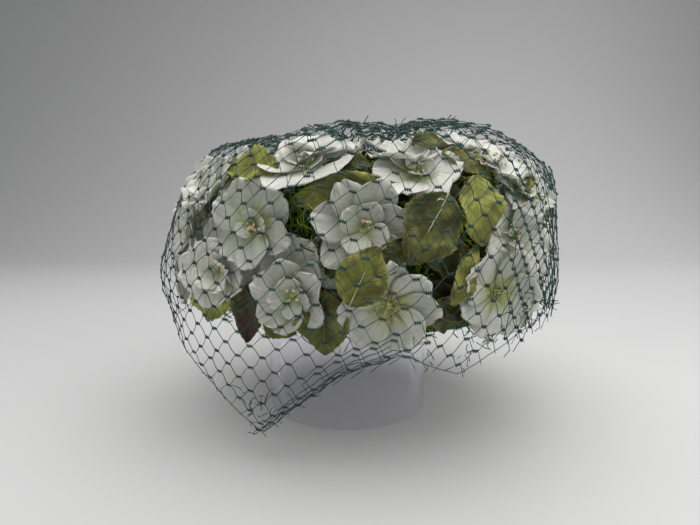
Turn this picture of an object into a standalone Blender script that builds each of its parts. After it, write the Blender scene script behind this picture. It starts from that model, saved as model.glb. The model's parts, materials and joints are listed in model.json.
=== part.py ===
"""A pillbox hat of fabric blossoms and leaves under a net veil, on a clear display ring.

Metres, +Z up. The hat's front faces -Y. Azimuths are degrees round the hat's own axis:
0 is the front, positive turns towards +X. The origin is under the middle of the whole
piece, on the table.
"""

import math

import bmesh
import bpy
from mathutils import Matrix, Vector

# The clear ring that the hat stands on
RING_RADIUS = 0.0557
RING_WALL = 0.0012
RING_OFFSET = -0.014  # the hat sits this far to one side of the ring's axis
RING_SIDES = 36

# The crown, a hollow drum that is open below
CROWN_RADIUS = 0.0935  # outside; 57.5 cm round inside, a common hat size
CROWN_WALL = 0.002
CROWN_RIM = 0.072  # the open edge, above the table
CROWN_TOP = 0.160
CROWN_CORNER = 0.016  # radius of the round top edge
CROWN_SIDES = 28
CORNER_STEPS = 3

# Pieces that touch stay this far apart
SEAT = 0.0003
SEAT_STEPS = 200  # most steps that a foot takes towards the crown
WELD = 0.000001  # points nearer than this are one point
SMOOTH_BELOW = math.radians(40)  # faces that meet at less than this are shaded smooth

# Blossoms and leaves
CLOTH = 0.001  # a stiffened petal or leaf
STEM_RADIUS = 0.0022
LOBE_SIDES = 3  # sides to each petal's edge
LOBE_NOTCH = 0.78  # radius at the notch between two petals, of the full radius
LOBE_FULLNESS = 1.2  # how soon a petal's edge reaches the full radius
BOSS_SHARE = 0.16  # radius of the raised middle, of the full radius
BOSS_HEIGHT = 0.0025
MID_SHARE = 0.58  # radius of the ring where a petal starts to turn up
PETIOLE = 0.003  # width and length of a leaf's stalk end
LEAF_TIP = 0.0005  # half the width of a leaf's tip
LEAF_STATIONS = (0.40, 0.78)  # cross-sections between stalk and tip, of the length
LEAF_BELLY = 0.85  # under 1 moves the widest place towards the stalk
LEAF_FULLNESS = 0.8  # under 1 makes the blade fuller towards its ends
LEAF_FOLD = 0.22  # how far the two halves rise from the midrib, of their width
LEAF_DROOP = 1.6  # how sharply a leaf bends back along its length, per metre

# The net veil
NET_COLUMNS = 15
NET_ROWS = 4
NET_THICKNESS = 0.0014
NET_BAND = 0.0030  # half the width of a strand band between two gaps
NET_TURN = -32.0  # azimuth of one column, which ends in the flap's point
GATHER_RADIUS = 0.012  # the net is gathered into this ring on the crown's middle

# Each blossom: azimuth and height of its middle, its distance from the hat's axis,
# its radius, petals, how far it looks up, how far it looks to the side, the cup's
# depth and its turn. Millimetres and degrees.
BLOSSOMS = (
    # azimuth, height, distance, radius, petals, up, side, cup, turn
    ("blossom_01", -35, 132, 111, 21.5, 6, 6, 0, 5, 10),
    ("blossom_02", -50, 98, 112, 20, 5, -8, -6, 5, 30),
    ("blossom_03", -22, 98, 109, 21, 6, -6, 2, 4, 0),
    ("blossom_04", -4, 132, 109, 22, 6, 4, 0, 4, -26),
    ("blossom_05", 4, 91, 112, 24, 8, -8, 0, 4, 0),
    ("blossom_06", -19, 159, 99, 21, 5, 50, 0, 4, 0),
    ("blossom_07", 12, 158, 103, 18.5, 6, 42, 0, 4, 25),
    ("blossom_08", 34, 152, 106, 16, 6, 30, -4, 4, 0),
    ("blossom_09", 57, 150, 104, 18, 6, 34, 0, 3, 20),
    ("blossom_10", 33, 97, 110, 22.5, 7, -6, 0, 4, 12),
    ("blossom_11", 44, 127, 113, 16.5, 5, 6, 0, 3, 36),
    ("blossom_12", 62, 114, 107, 21, 6, 0, 4, 4, 0),
    ("blossom_13", -56, 150, 104, 17.5, 5, 34, 0, 4, 20),
    ("blossom_14", -70, 124, 112, 20, 6, 6, 0, 4, 0),
    ("blossom_15", -79, 92, 108, 18, 5, -6, 0, 4, 8),
    ("blossom_16", -92, 136, 109, 20, 6, 14, 0, 4, 0),
    ("blossom_17", -105, 100, 111, 21, 6, -6, 0, 4, 14),
    ("blossom_18", -122, 138, 109, 21, 5, 14, 0, 4, 0),
    ("blossom_19", -136, 100, 110, 20.5, 7, -4, 0, 4, 6),
    ("blossom_20", -153, 138, 109, 21, 6, 12, 0, 4, 22),
    ("blossom_21", -168, 99, 111, 21, 5, -6, 0, 4, 0),
    ("blossom_22", 176, 138, 109, 20.5, 6, 14, 0, 4, 10),
    ("blossom_23", 160, 100, 110, 21, 6, -4, 0, 4, 0),
    ("blossom_24", 145, 138, 109, 21, 5, 12, 0, 4, 30),
    ("blossom_25", 128, 99, 111, 20.5, 7, -6, 0, 4, 0),
    ("blossom_26", 113, 137, 109, 21, 6, 14, 0, 4, 18),
    ("blossom_27", 95, 101, 110, 21, 5, -4, 0, 4, 0),
    ("blossom_28", 83, 142, 108, 19, 6, 22, 0, 4, 5),
    ("blossom_29", -100, 166, 66, 20, 6, 78, 0, 4, 0),
    ("blossom_30", -165, 166, 66, 21, 5, 78, 0, 4, 12),
    ("blossom_31", 125, 166, 66, 20, 6, 78, 0, 4, 0),
    ("blossom_32", 40, 166, 62, 20, 5, 74, 0, 4, 24),
)

# Each leaf: azimuth and height of its stalk end, its distance from the hat's axis,
# its length and width, where its tip points (0 is up, positive turns towards rising
# azimuth), how far it looks up, and how far its stalk slants. Millimetres and degrees.
LEAVES = (
    # azimuth, height, distance, length, width, points, up, slant
    ("leaf_01", -28, 155, 104, 28, 17, -72, 30, 0),
    ("leaf_02", 2, 155, 120, 43, 17, -84, 3, 0),
    ("leaf_03", 17, 144, 119, 36, 26, -152, 8, 0),
    ("leaf_04", 22, 152, 117, 34, 21, 160, 6, 0),
    ("leaf_05", -8, 117, 121, 26, 20, 168, 6, 50),
    ("leaf_06", 21, 120, 103, 30, 17, 160, -4, 0),
    ("leaf_07", -14, 95, 104, 32, 23, 178, -6, 0),
    ("leaf_08", -42, 80, 106, 34, 14, -88, -10, 0),
    ("leaf_09", -36, 84, 101, 20, 13, -150, -10, 0),
    ("leaf_10", -28, 80, 101, 20, 14, 110, -10, 0),
    ("leaf_11", 21, 164, 100, 24, 14, 60, 30, 0),
    ("leaf_12", 17, 100, 102, 26, 18, 160, -4, 0),
    ("leaf_13", -61, 118, 101, 24, 14, -176, 0, 0),
    ("leaf_14", 72, 133, 101, 24, 15, 180, 4, 0),
    ("leaf_15", 85, 121, 103, 34, 21, 176, 0, 0),
    ("leaf_16", -86, 118, 101, 24, 15, -160, 0, 0),
    ("leaf_17", -121, 120, 102, 34, 22, 176, 0, 0),
    ("leaf_18", -150, 116, 102, 32, 22, -170, 0, 0),
    ("leaf_19", 176, 117, 102, 34, 22, 178, 0, 0),
    ("leaf_20", 143, 117, 102, 32, 22, 176, 0, 0),
    ("leaf_21", 111, 117, 102, 32, 20, -178, 0, 0),
    ("leaf_22", -52, 168, 44, 36, 20, -165, 93, 0),
    ("leaf_23", 2, 168, 42, 36, 22, 176, 93, 0),
    ("leaf_24", 84, 168, 44, 36, 20, 170, 93, 0),
    ("leaf_25", 160, 168, 40, 34, 21, 178, 93, 0),
)

# The veil's outline: azimuth, widest distance from the hat's axis, the distance and
# the height of its lower edge. Millimetres and degrees. Between rows it is blended.
VEIL_EDGE = (
    # azimuth, widest, edge distance, edge height
    (-180, 131, 128, 70),
    (-140, 132, 128, 66),
    (-100, 136, 130, 68),
    (-77, 137, 130, 68),
    (-54, 136, 128, 56),
    (-32, 134, 112, 19),
    (-9, 132, 118, 58),
    (6, 131, 127, 72),
    (19, 130, 126, 59),
    (36, 128, 126, 75),
    (60, 127, 125, 80),
    (90, 127, 125, 74),
    (140, 130, 127, 72),
    (180, 131, 128, 70),
)
# From the gather out to the shoulder: distance from the hat's axis and height
VEIL_TOP = ((0.0192, 0.1737), (0.0384, 0.187), (0.0806, 0.190))
# From the shoulder down: how far inside the widest place, and height
VEIL_SIDE = ((0.024, 0.187), (0.011, 0.177), (0.003, 0.158), (0.0, 0.122))

# Colours, linear RGB, with roughness
SATIN = (0.62, 0.63, 0.55, 1.0)
LEAF_GREEN = (0.13, 0.15, 0.035, 1.0)
MOSS_GREEN = (0.022, 0.05, 0.012, 1.0)
NET_GREEN = (0.012, 0.045, 0.035, 1.0)
CLEAR_LILAC = (0.74, 0.73, 0.78, 1.0)


def material(name, colour, roughness, transmission=0.0):
    """A plain Principled material."""
    made = bpy.data.materials.new(name)
    made.use_nodes = True
    shader = made.node_tree.nodes["Principled BSDF"]
    shader.inputs["Base Color"].default_value = colour
    shader.inputs["Roughness"].default_value = roughness
    shader.inputs["Metallic"].default_value = 0.0
    shader.inputs["Transmission Weight"].default_value = transmission
    return made


def piece(name, bm, finish, parent, smooth=True):
    """Turns a bmesh into a named object with its material, under the parent empty."""
    bmesh.ops.recalc_face_normals(bm, faces=bm.faces[:])
    mesh = bpy.data.meshes.new(name)
    bm.to_mesh(mesh)
    bm.free()
    if smooth:
        mesh.shade_smooth()
        mesh.set_sharp_from_angle(angle=SMOOTH_BELOW)
    mesh.materials.append(finish)
    made = bpy.data.objects.new(name, mesh)
    made.parent = parent
    bpy.context.collection.objects.link(made)
    return made


def polar(azimuth, distance, height):
    """The point at an azimuth in degrees, a distance from the hat's axis and a height."""
    turn = math.radians(azimuth)
    return Vector((distance * math.sin(turn), -distance * math.cos(turn), height))


def outside_crown(point):
    """Distance from a point to the crown's outer surface, a drum with a round top edge."""
    across = math.hypot(point.x, point.y) - (CROWN_RADIUS - CROWN_CORNER)
    above = point.z - (CROWN_TOP - CROWN_CORNER)
    corner = math.hypot(max(across, 0.0), max(above, 0.0))
    return corner + min(max(across, above), 0.0) - CROWN_CORNER


def seat_on_crown(point, direction):
    """Moves a point along a direction until it is one seat's gap from the crown."""
    point = Vector(point)
    for _ in range(SEAT_STEPS):
        left = outside_crown(point) - SEAT
        if left < WELD:
            break
        point += direction * left
    return point


def lathe(bm, profile, sides):
    """Spins a closed profile of (radius, height) points round Z."""
    verts = [bm.verts.new((radius, 0.0, height)) for radius, height in profile]
    edges = [
        bm.edges.new((verts[i], verts[(i + 1) % len(verts)]))
        for i in range(len(verts))
        if profile[i][0] > 0 or profile[(i + 1) % len(verts)][0] > 0
    ]
    bmesh.ops.spin(
        bm, geom=verts + edges, axis=(0, 0, 1), cent=(0, 0, 0),
        angle=math.tau, steps=sides, use_duplicate=False,
    )
    bmesh.ops.remove_doubles(bm, verts=bm.verts[:], dist=WELD)


def make_ring(finish, parent):
    """The clear display ring, a tube that reaches up inside the hat to the crown."""
    top = CROWN_TOP - CROWN_WALL - SEAT
    inner = RING_RADIUS - RING_WALL
    profile = ((RING_RADIUS, top), (RING_RADIUS, 0.0), (inner, 0.0), (inner, top))
    bm = bmesh.new()
    lathe(bm, profile, RING_SIDES)
    bmesh.ops.translate(bm, verts=bm.verts[:], vec=(RING_OFFSET, 0, 0))
    return piece("stand_ring", bm, finish, parent)


def crown_profile(radius, top, corner):
    """Half of a drum's outline, from its axis over the round top edge to its rim."""
    points = [(0.0, top)]
    for step in range(CORNER_STEPS + 1):
        turn = math.pi / 2 * (1 - step / CORNER_STEPS)
        across = radius - corner + corner * math.cos(turn)
        points.append((across, top - corner + corner * math.sin(turn)))
    points.append((radius, CROWN_RIM))
    return points


def make_crown(finish, parent):
    """The crown: a drum with a closed top, open below where the head goes."""
    outer = crown_profile(CROWN_RADIUS, CROWN_TOP, CROWN_CORNER)
    inner = crown_profile(
        CROWN_RADIUS - CROWN_WALL, CROWN_TOP - CROWN_WALL, CROWN_CORNER - CROWN_WALL
    )
    bm = bmesh.new()
    lathe(bm, outer + inner[::-1], CROWN_SIDES)
    return piece("crown", bm, finish, parent)


def facing(azimuth, distance, height, up, side):
    """The frame of a piece whose +Z looks out from the hat and whose +Y points up."""
    out = Matrix.Rotation(math.radians(azimuth), 4, "Z") @ Matrix.Rotation(math.pi / 2, 4, "X")
    aim = Matrix.Rotation(math.radians(side), 4, "Y") @ Matrix.Rotation(math.radians(-up), 4, "X")
    return Matrix.Translation(polar(azimuth, distance, height)) @ out @ aim


def next_ring(bm, edges):
    """Extrudes a ring of edges, and returns the new ring's edges and vertices."""
    made = bmesh.ops.extrude_edge_only(bm, edges=edges)["geom"]
    ring = [e for e in made if isinstance(e, bmesh.types.BMEdge)]
    return ring, [v for v in made if isinstance(v, bmesh.types.BMVert)]


def petal_edge(angle, petals):
    """Radius of the petals' outline at an angle, from the notch to 1."""
    swing = abs(math.sin(petals * angle / 2))
    return LOBE_NOTCH + (1 - LOBE_NOTCH) * min(1.0, LOBE_FULLNESS * swing)


def make_blossom(row, finish, parent):
    """A cupped disc with one lobe to a petal, a raised middle and a stem to the crown."""
    name, azimuth, height, distance, radius, petals, up, side, cup, turn = row
    radius, cup = radius / 1000, cup / 1000
    place = facing(azimuth, distance / 1000, height / 1000, up, side)
    place = place @ Matrix.Rotation(math.radians(turn), 4, "Z")
    sides = petals * LOBE_SIDES
    # From the foot up the stem, out under the petals, over their edge and in again.
    rings = (
        (0.0, STEM_RADIUS, -CLOTH),
        (1.0, radius, cup - CLOTH / 2),
        (1.0, radius - CLOTH / 2, cup + CLOTH / 2),
        (1.0, radius * MID_SHARE, cup * MID_SHARE**2 + CLOTH / 2),
        (0.0, radius * BOSS_SHARE, BOSS_HEIGHT),
    )
    bm = bmesh.new()
    foot = bmesh.ops.create_circle(
        bm, cap_ends=True, segments=sides, radius=STEM_RADIUS
    )["verts"]
    edges = bm.edges[:]
    for lobed, reach, lift in rings:
        edges, verts = next_ring(bm, edges)
        for vert in verts:
            angle = math.atan2(vert.co.y, vert.co.x)
            spread = reach * (petal_edge(angle - math.pi / 2, petals) if lobed else 1.0)
            vert.co = (spread * math.cos(angle), spread * math.sin(angle), lift)
    bmesh.ops.contextual_create(bm, geom=edges)
    bmesh.ops.transform(bm, matrix=place, verts=bm.verts[:])
    inward = -(place.to_3x3() @ Vector((0, 0, 1)))
    for vert in foot:
        vert.co = seat_on_crown(vert.co, inward)
    return piece(name, bm, finish, parent)


def leaf_half_width(along, width):
    """Half the width of a leaf at a share of its length, pointed at both ends."""
    belly = math.sin(math.pi * along**LEAF_BELLY) ** LEAF_FULLNESS
    return max(PETIOLE / 2, width / 2 * belly)


def make_leaf(row, finish, parent):
    """A pointed leaf folded along its midrib, with a stalk to the crown."""
    name, azimuth, height, distance, length, width, points, up, slant = row
    distance, length, width = distance / 1000, length / 1000, width / 1000
    place = facing(azimuth, distance, height / 1000, up, 0)
    place = place @ Matrix.Rotation(math.radians(-points), 4, "Z")
    stations = (0.0, PETIOLE / length, *LEAF_STATIONS, 1.0)
    # A leaf that runs round the hat bends with it, and every leaf droops.
    bend = LEAF_DROOP + abs(math.sin(math.radians(points))) / (2 * distance)
    bm = bmesh.new()
    bmesh.ops.create_grid(bm, x_segments=2, y_segments=len(stations) - 1, size=1.0)
    for vert in bm.verts:
        across = round(vert.co.x)
        along = stations[round((vert.co.y + 1) / 2 * (len(stations) - 1))]
        half = leaf_half_width(along, width) if along < 1.0 else LEAF_TIP
        curl = bend * (along * length) ** 2
        vert.co = (across * half, along * length, LEAF_FOLD * abs(across) * half - curl)
    bmesh.ops.recalc_face_normals(bm, faces=bm.faces[:])
    if bm.faces[0].normal.z < 0:
        bmesh.ops.reverse_faces(bm, faces=bm.faces[:])
    bmesh.ops.solidify(bm, geom=bm.faces[:], thickness=CLOTH)
    bm.normal_update()
    stalk = [
        face for face in bm.faces
        if face.normal.z < -0.5 and face.calc_center_median().y < PETIOLE
    ]
    foot = [
        v for v in bmesh.ops.extrude_face_region(bm, geom=stalk)["geom"]
        if isinstance(v, bmesh.types.BMVert)
    ]
    bmesh.ops.delete(bm, geom=stalk, context="FACES")
    bmesh.ops.transform(bm, matrix=place, verts=bm.verts[:])
    slant = math.radians(slant)
    inward = place.to_3x3() @ Vector((0, math.sin(slant), -math.cos(slant)))
    for vert in foot:
        vert.co = seat_on_crown(vert.co, inward)
    return piece(name, bm, finish, parent, smooth=False)


def veil_row(azimuth):
    """The veil's outline at an azimuth in degrees, blended between the table's rows."""
    azimuth = (azimuth + 180) % 360 - 180
    for low, high in zip(VEIL_EDGE, VEIL_EDGE[1:]):
        if low[0] <= azimuth <= high[0]:
            share = (azimuth - low[0]) / (high[0] - low[0])
            return [(a + (b - a) * share) / 1000 for a, b in zip(low[1:], high[1:])]
    raise ValueError(azimuth)


def veil_column(azimuth):
    """Evenly spaced points down one column of the net, from the gather to the edge."""
    widest, edge_distance, edge_height = veil_row(azimuth)
    base = CROWN_TOP + SEAT + NET_THICKNESS
    knots = [
        polar(azimuth, GATHER_RADIUS, base),
        *(polar(azimuth, distance, height) for distance, height in VEIL_TOP),
        *(polar(azimuth, widest - inside, height) for inside, height in VEIL_SIDE),
        polar(azimuth, edge_distance, edge_height),
    ]
    lengths = [0.0]
    for a, b in zip(knots, knots[1:]):
        lengths.append(lengths[-1] + (b - a).length)
    column = []
    for step in range(2 * NET_ROWS + 1):
        want = lengths[-1] * step / (2 * NET_ROWS)
        at = max(i for i, far in enumerate(lengths[:-1]) if far <= want + WELD)
        share = (want - lengths[at]) / (lengths[at + 1] - lengths[at])
        column.append(knots[at].lerp(knots[at + 1], share))
    return column


def touches_gather(face):
    """Whether a face of the net has a side on the gathered ring at the crown's middle."""
    return any(edge.is_boundary and edge.verts[0].co.z > CROWN_TOP for edge in face.edges)


def make_veil(finish, parent):
    """The net: a draped shell cut through in diamonds."""
    bm = bmesh.new()
    bmesh.ops.create_circle(bm, segments=NET_COLUMNS, radius=1.0)
    edges = bm.edges[:]
    for row in range(NET_ROWS):
        edges, verts = next_ring(bm, edges)
        bmesh.ops.translate(bm, verts=verts, vec=(0, 0, 1))
    square_edges = [e for e in bm.edges if not e.is_boundary]
    bmesh.ops.poke(bm, faces=bm.faces[:])
    bmesh.ops.dissolve_edges(bm, edges=square_edges)
    for vert in bm.verts:
        azimuth = math.degrees(math.atan2(vert.co.y, vert.co.x)) - 90 + NET_TURN
        vert.co = veil_column(azimuth)[round(2 * vert.co.z)]
    bmesh.ops.recalc_face_normals(bm, faces=bm.faces[:])
    gaps = [face for face in bm.faces if not touches_gather(face)]
    bmesh.ops.inset_individual(bm, faces=gaps, thickness=NET_BAND)
    bmesh.ops.delete(bm, geom=gaps, context="FACES")
    bmesh.ops.solidify(bm, geom=bm.faces[:], thickness=NET_THICKNESS)
    return piece("veil", bm, finish, parent, smooth=False)


def centre_on_origin(parent):
    """Moves the parent so that the origin is under the middle of the whole piece."""
    corners = [v.co for made in parent.children for v in made.data.vertices]
    for axis in (0, 1):
        low = min(corner[axis] for corner in corners)
        high = max(corner[axis] for corner in corners)
        parent.location[axis] = -(low + high) / 2


def main():
    for old in list(bpy.data.objects):
        bpy.data.objects.remove(old)
    parent = bpy.data.objects.new("hat_on_ring", None)
    bpy.context.collection.objects.link(parent)
    clear = material("clear_plastic", CLEAR_LILAC, 0.1, transmission=0.9)
    moss = material("moss_fibre", MOSS_GREEN, 0.9)
    satin = material("white_satin", SATIN, 0.5)
    olive = material("leaf_cloth", LEAF_GREEN, 0.7)
    net = material("veil_net", NET_GREEN, 0.8)
    make_ring(clear, parent)
    make_crown(moss, parent)
    for row in BLOSSOMS:
        make_blossom(row, satin, parent)
    for row in LEAVES:
        make_leaf(row, olive, parent)
    make_veil(net, parent)
    centre_on_origin(parent)


main()
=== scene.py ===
# %% [markdown]
# # A pillbox hat of blossoms and leaves under a net veil
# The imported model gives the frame: the clear ring, the crown, thirty-two blossoms,
# twenty-five leaves and the veil, each a plain solid in its right place. This lesson
# dresses every one of them. Everything is in metres, +Z is up, and the hat's front
# faces -Y.

import functools
import json
import math
import random

import bmesh
import bpy
from mathutils import Matrix, Vector, noise

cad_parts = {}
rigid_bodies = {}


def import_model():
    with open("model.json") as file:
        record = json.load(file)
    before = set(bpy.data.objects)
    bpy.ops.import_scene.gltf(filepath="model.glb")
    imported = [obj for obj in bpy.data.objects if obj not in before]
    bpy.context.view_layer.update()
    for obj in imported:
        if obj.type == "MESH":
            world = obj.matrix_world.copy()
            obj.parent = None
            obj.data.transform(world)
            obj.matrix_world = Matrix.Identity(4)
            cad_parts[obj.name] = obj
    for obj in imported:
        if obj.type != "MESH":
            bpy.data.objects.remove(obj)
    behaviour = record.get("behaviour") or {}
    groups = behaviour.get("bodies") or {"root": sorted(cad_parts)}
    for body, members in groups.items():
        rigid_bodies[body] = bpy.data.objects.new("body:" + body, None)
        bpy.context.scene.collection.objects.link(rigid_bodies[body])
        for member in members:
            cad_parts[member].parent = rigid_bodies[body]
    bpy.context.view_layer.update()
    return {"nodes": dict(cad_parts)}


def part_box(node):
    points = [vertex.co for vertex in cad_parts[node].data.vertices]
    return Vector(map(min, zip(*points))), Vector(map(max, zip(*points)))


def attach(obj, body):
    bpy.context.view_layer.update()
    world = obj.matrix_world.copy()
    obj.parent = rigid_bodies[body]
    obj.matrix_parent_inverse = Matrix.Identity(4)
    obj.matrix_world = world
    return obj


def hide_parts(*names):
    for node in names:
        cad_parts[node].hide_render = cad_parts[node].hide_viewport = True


NOISE_SEED = 4  # or the noise would differ from run to run
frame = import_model()
noise.seed_set(NOISE_SEED)
print("frame:", len(frame["nodes"]), "nodes")

# %% [markdown]
# The hat and its ring don't share an axis: the hat sits a little to one side. Both
# axes are read from the frame, and everything on the hat is placed from the hat's own.

# %% Axes
crown_low, crown_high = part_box("crown")
ring_low, ring_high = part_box("stand_ring")
HAT_AXIS = Vector(((crown_low.x + crown_high.x) / 2, (crown_low.y + crown_high.y) / 2, 0))
RING_AXIS = Vector(((ring_low.x + ring_high.x) / 2, (ring_low.y + ring_high.y) / 2, 0))
CROWN_RADIUS = (crown_high.y - crown_low.y) / 2
CROWN_TOP = crown_high.z
CROWN_RIM = crown_low.z
MM = 0.001
print("hat axis", HAT_AXIS, "crown radius", round(CROWN_RADIUS, 4))

# %% [markdown]
# ## Camera
# The photograph was taken from close by with a wide lens, a little above the middle of
# the hat and tilted slightly down. The near blossoms look larger than the far ones for
# that reason, so the camera goes first, and all that follows is judged through it.

# %% Camera
PHOTO_WIDTH = 700
FOCAL_PIXELS = 485
SENSOR = 36.0
CAMERA_FROM_HAT = Vector((-0.012, -0.345, 0.142))
CAMERA_TILT = math.radians(7.05)

camera_data = bpy.data.cameras.new("camera")
camera_data.sensor_width = SENSOR
camera_data.lens = SENSOR * FOCAL_PIXELS / PHOTO_WIDTH
camera_data.clip_start = 0.01
camera = bpy.data.objects.new("camera", camera_data)
camera.location = HAT_AXIS + CAMERA_FROM_HAT
camera.rotation_euler = (math.pi / 2 - CAMERA_TILT, 0, 0)
bpy.context.collection.objects.link(camera)
bpy.context.scene.camera = camera
print("lens", round(camera_data.lens, 2), "mm")

# %% [markdown]
# ## Studio
# A plain floor that curves up into a plain wall far behind the hat, so that no corner
# shows. One large soft light hangs overhead, as in the photograph, where the tops of
# the blossoms are bright and their fronts are grey. Weaker ones stand at the right, at
# the left and in front at the right, as from a room with windows, and the world adds a
# soft grey. A last lamp lights the paper floor alone and casts no shadow, so that the
# table is as pale beside the hat as in the photograph.

# %% Floor and light
FLOOR_REACH = 2.2
SWEEP_RADIUS = 0.9
SWEEP_STEPS = 24
WALL_DISTANCE = 1.7
WALL_HEIGHT = 2.4
PAPER = (0.50, 0.50, 0.495, 1.0)
AIR = (0.50, 0.51, 0.52, 1.0)
AIR_STRENGTH = 0.51
LAMPS = (
    # name, place, what it looks at, size, power
    ("light_above", (0.04, -0.10, 1.15), (0.0, 0.0, 0.0), 1.5, 19.0),
    ("light_right", (0.90, 0.55, 0.75), (0.55, 1.5, 0.5), 0.6, 3.5),
    ("light_left", (-0.95, -0.60, 0.28), (0.0, 0.0, 0.0), 0.6, 1.0),
    ("light_front_right", (0.85, -0.50, 0.60), (0.0, 0.0, 0.10), 0.6, 3.0),
)
PAPER_LAMP = ("light_paper", (0.45, -0.35, 0.90), (0.10, -0.10, 0.0), 0.6, 2.5)


def mesh_of(bm, name, *finishes):
    """Makes a smooth mesh of a bmesh, which is used up by this."""
    mesh = bpy.data.meshes.new(name)
    bm.to_mesh(mesh)
    bm.free()
    mesh.shade_smooth()
    for finish in finishes:
        mesh.materials.append(finish)
    return mesh


def object_of(name, data):
    """An object that shows a mesh, a lamp or other data, in the scene."""
    made = bpy.data.objects.new(name, data)
    bpy.context.collection.objects.link(made)
    return made


def studio_paper():
    """A matte off-white paper."""
    paper = bpy.data.materials.new("studio_paper")
    paper.use_nodes = True
    shader = paper.node_tree.nodes["Principled BSDF"]
    shader.inputs["Base Color"].default_value = PAPER
    shader.inputs["Roughness"].default_value = 0.8
    shader.inputs["Specular IOR Level"].default_value = 0.2
    return paper


def make_floor():
    """The floor and the wall are one sheet, with a round bend between them."""
    bm = bmesh.new()
    near = [bm.verts.new((side * FLOOR_REACH, -FLOOR_REACH, 0)) for side in (-1, 1)]
    edges = [bm.edges.new(near)]
    for step in ((0, FLOOR_REACH + WALL_DISTANCE, 0), (0, 0, WALL_HEIGHT)):
        made = bmesh.ops.extrude_edge_only(bm, edges=edges)["geom"]
        edges = [e for e in made if isinstance(e, bmesh.types.BMEdge)]
        edges = [e for e in edges if e.is_boundary and len(e.link_faces) == 1]
        far = [v for v in made if isinstance(v, bmesh.types.BMVert)]
        bmesh.ops.translate(bm, verts=far, vec=step)
        edges = [e for e in edges if all(v in far for v in e.verts)]
    bend = [e for e in bm.edges if len(e.link_faces) == 2]
    bmesh.ops.bevel(
        bm, geom=bend, offset=SWEEP_RADIUS, offset_type="OFFSET", affect="EDGES",
        segments=SWEEP_STEPS, profile=0.5, material=-1,
    )
    bmesh.ops.recalc_face_normals(bm, faces=bm.faces[:])
    floor = object_of("studio_floor", mesh_of(bm, "studio_floor", studio_paper()))
    return floor


def add_light(name, place, aim, size, power, only=None):
    """A square area light that looks at a point, for all or for one collection only."""
    data = bpy.data.lights.new(name, "AREA")
    data.size = size
    data.energy = power
    light = object_of(name, data)
    light.location = place
    light.rotation_euler = (Vector(aim) - Vector(place)).to_track_quat("-Z", "Y").to_euler()
    if only:
        data.use_shadow = False
        light.light_linking.receiver_collection = only


paper_only = bpy.data.collections.new("paper_only")
paper_only.objects.link(make_floor())
for lamp in LAMPS:
    add_light(*lamp)
add_light(*PAPER_LAMP, only=paper_only)
world = bpy.data.worlds.new("studio_air")
world.use_nodes = True
air = world.node_tree.nodes["Background"]
air.inputs["Color"].default_value = AIR
air.inputs["Strength"].default_value = AIR_STRENGTH
bpy.context.scene.world = world
bpy.context.scene.view_settings.view_transform = "Standard"
print("studio:", len(LAMPS) + 1, "lamps")

# %% [markdown]
# ## Helpers for finishes
# Every finish here is built from nodes. The helpers keep the recipes short: one adds a
# node and fills its inputs with numbers or links, and the others add the kinds that
# the recipes need again and again and give back their output.

# %% Node helpers


def add_node(tree, kind, inputs=None, **settings):
    """Adds a node; each input is given a number, a colour or another node's output."""
    made = tree.nodes.new(kind)
    for key, value in settings.items():
        setattr(made, key, value)
    for key, value in (inputs or {}).items():
        if isinstance(value, bpy.types.NodeSocket):
            tree.links.new(value, made.inputs[key])
        else:
            made.inputs[key].default_value = value
    return made


def mix_colour(tree, share, first, second, blend="MIX"):
    """The output of a colour mix. Sockets 6 and 7 are the node's two colours."""
    made = add_node(
        tree, "ShaderNodeMix", {0: share, 6: first, 7: second},
        data_type="RGBA", blend_type=blend,
    )
    return made.outputs[2]


def maths(tree, operation, first, second=0.0, clamp=False):
    """The output of a math node."""
    made = add_node(
        tree, "ShaderNodeMath", {0: first, 1: second}, operation=operation, use_clamp=clamp
    )
    return made.outputs[0]


def remap(tree, value, low, high, to_low=0.0, to_high=1.0):
    """Stretches the range low..high of a value smoothly to another range."""
    made = add_node(
        tree, "ShaderNodeMapRange",
        {"Value": value, "From Min": low, "From Max": high, "To Min": to_low, "To Max": to_high},
        interpolation_type="SMOOTHSTEP",
    )
    return made.outputs[0]


def attribute(tree, name):
    """The value of a number stored on the mesh."""
    return add_node(tree, "ShaderNodeAttribute", attribute_name=name).outputs["Fac"]


def noise_of(tree, vector, scale, detail, distortion=0.0):
    """The value of a noise texture."""
    made = add_node(
        tree, "ShaderNodeTexNoise",
        {"Vector": vector, "Scale": scale, "Detail": detail, "Distortion": distortion},
    )
    return made.outputs["Fac"]


def colour_ramp(tree, value, colours):
    """The colour at a value, from rows of (position, colour)."""
    ramp = add_node(tree, "ShaderNodeValToRGB", {"Fac": value})
    stops = ramp.color_ramp.elements
    while len(stops) < len(colours):
        stops.new(0.5)
    for stop, (position, shade) in zip(stops, colours):
        stop.position = position
        stop.color = shade
    return ramp.outputs["Color"]


def new_finish(name, roughness, sheen=0.0, specular=0.5):
    """A Principled material with its steady values set on its own sockets."""
    finish = bpy.data.materials.new(name)
    finish.use_nodes = True
    shader = finish.node_tree.nodes["Principled BSDF"]
    shader.inputs["Roughness"].default_value = roughness
    shader.inputs["Sheen Weight"].default_value = sheen
    shader.inputs["Sheen Roughness"].default_value = 0.4
    shader.inputs["Specular IOR Level"].default_value = specular
    return finish, finish.node_tree, shader


# %% [markdown]
# ### Cloth grain
# Satin, leaf cloth and plastic film all show a fine grain and a softer crumple. It is
# one node group with named inputs, so that each finish sets its own scale.

# %% Cloth grain group
GRAIN_SOCKETS = (
    ("INPUT", ("Grain Scale", "Crumple Scale", "Grain Share")),
    ("OUTPUT", ("Height", "Mottle")),
)


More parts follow.
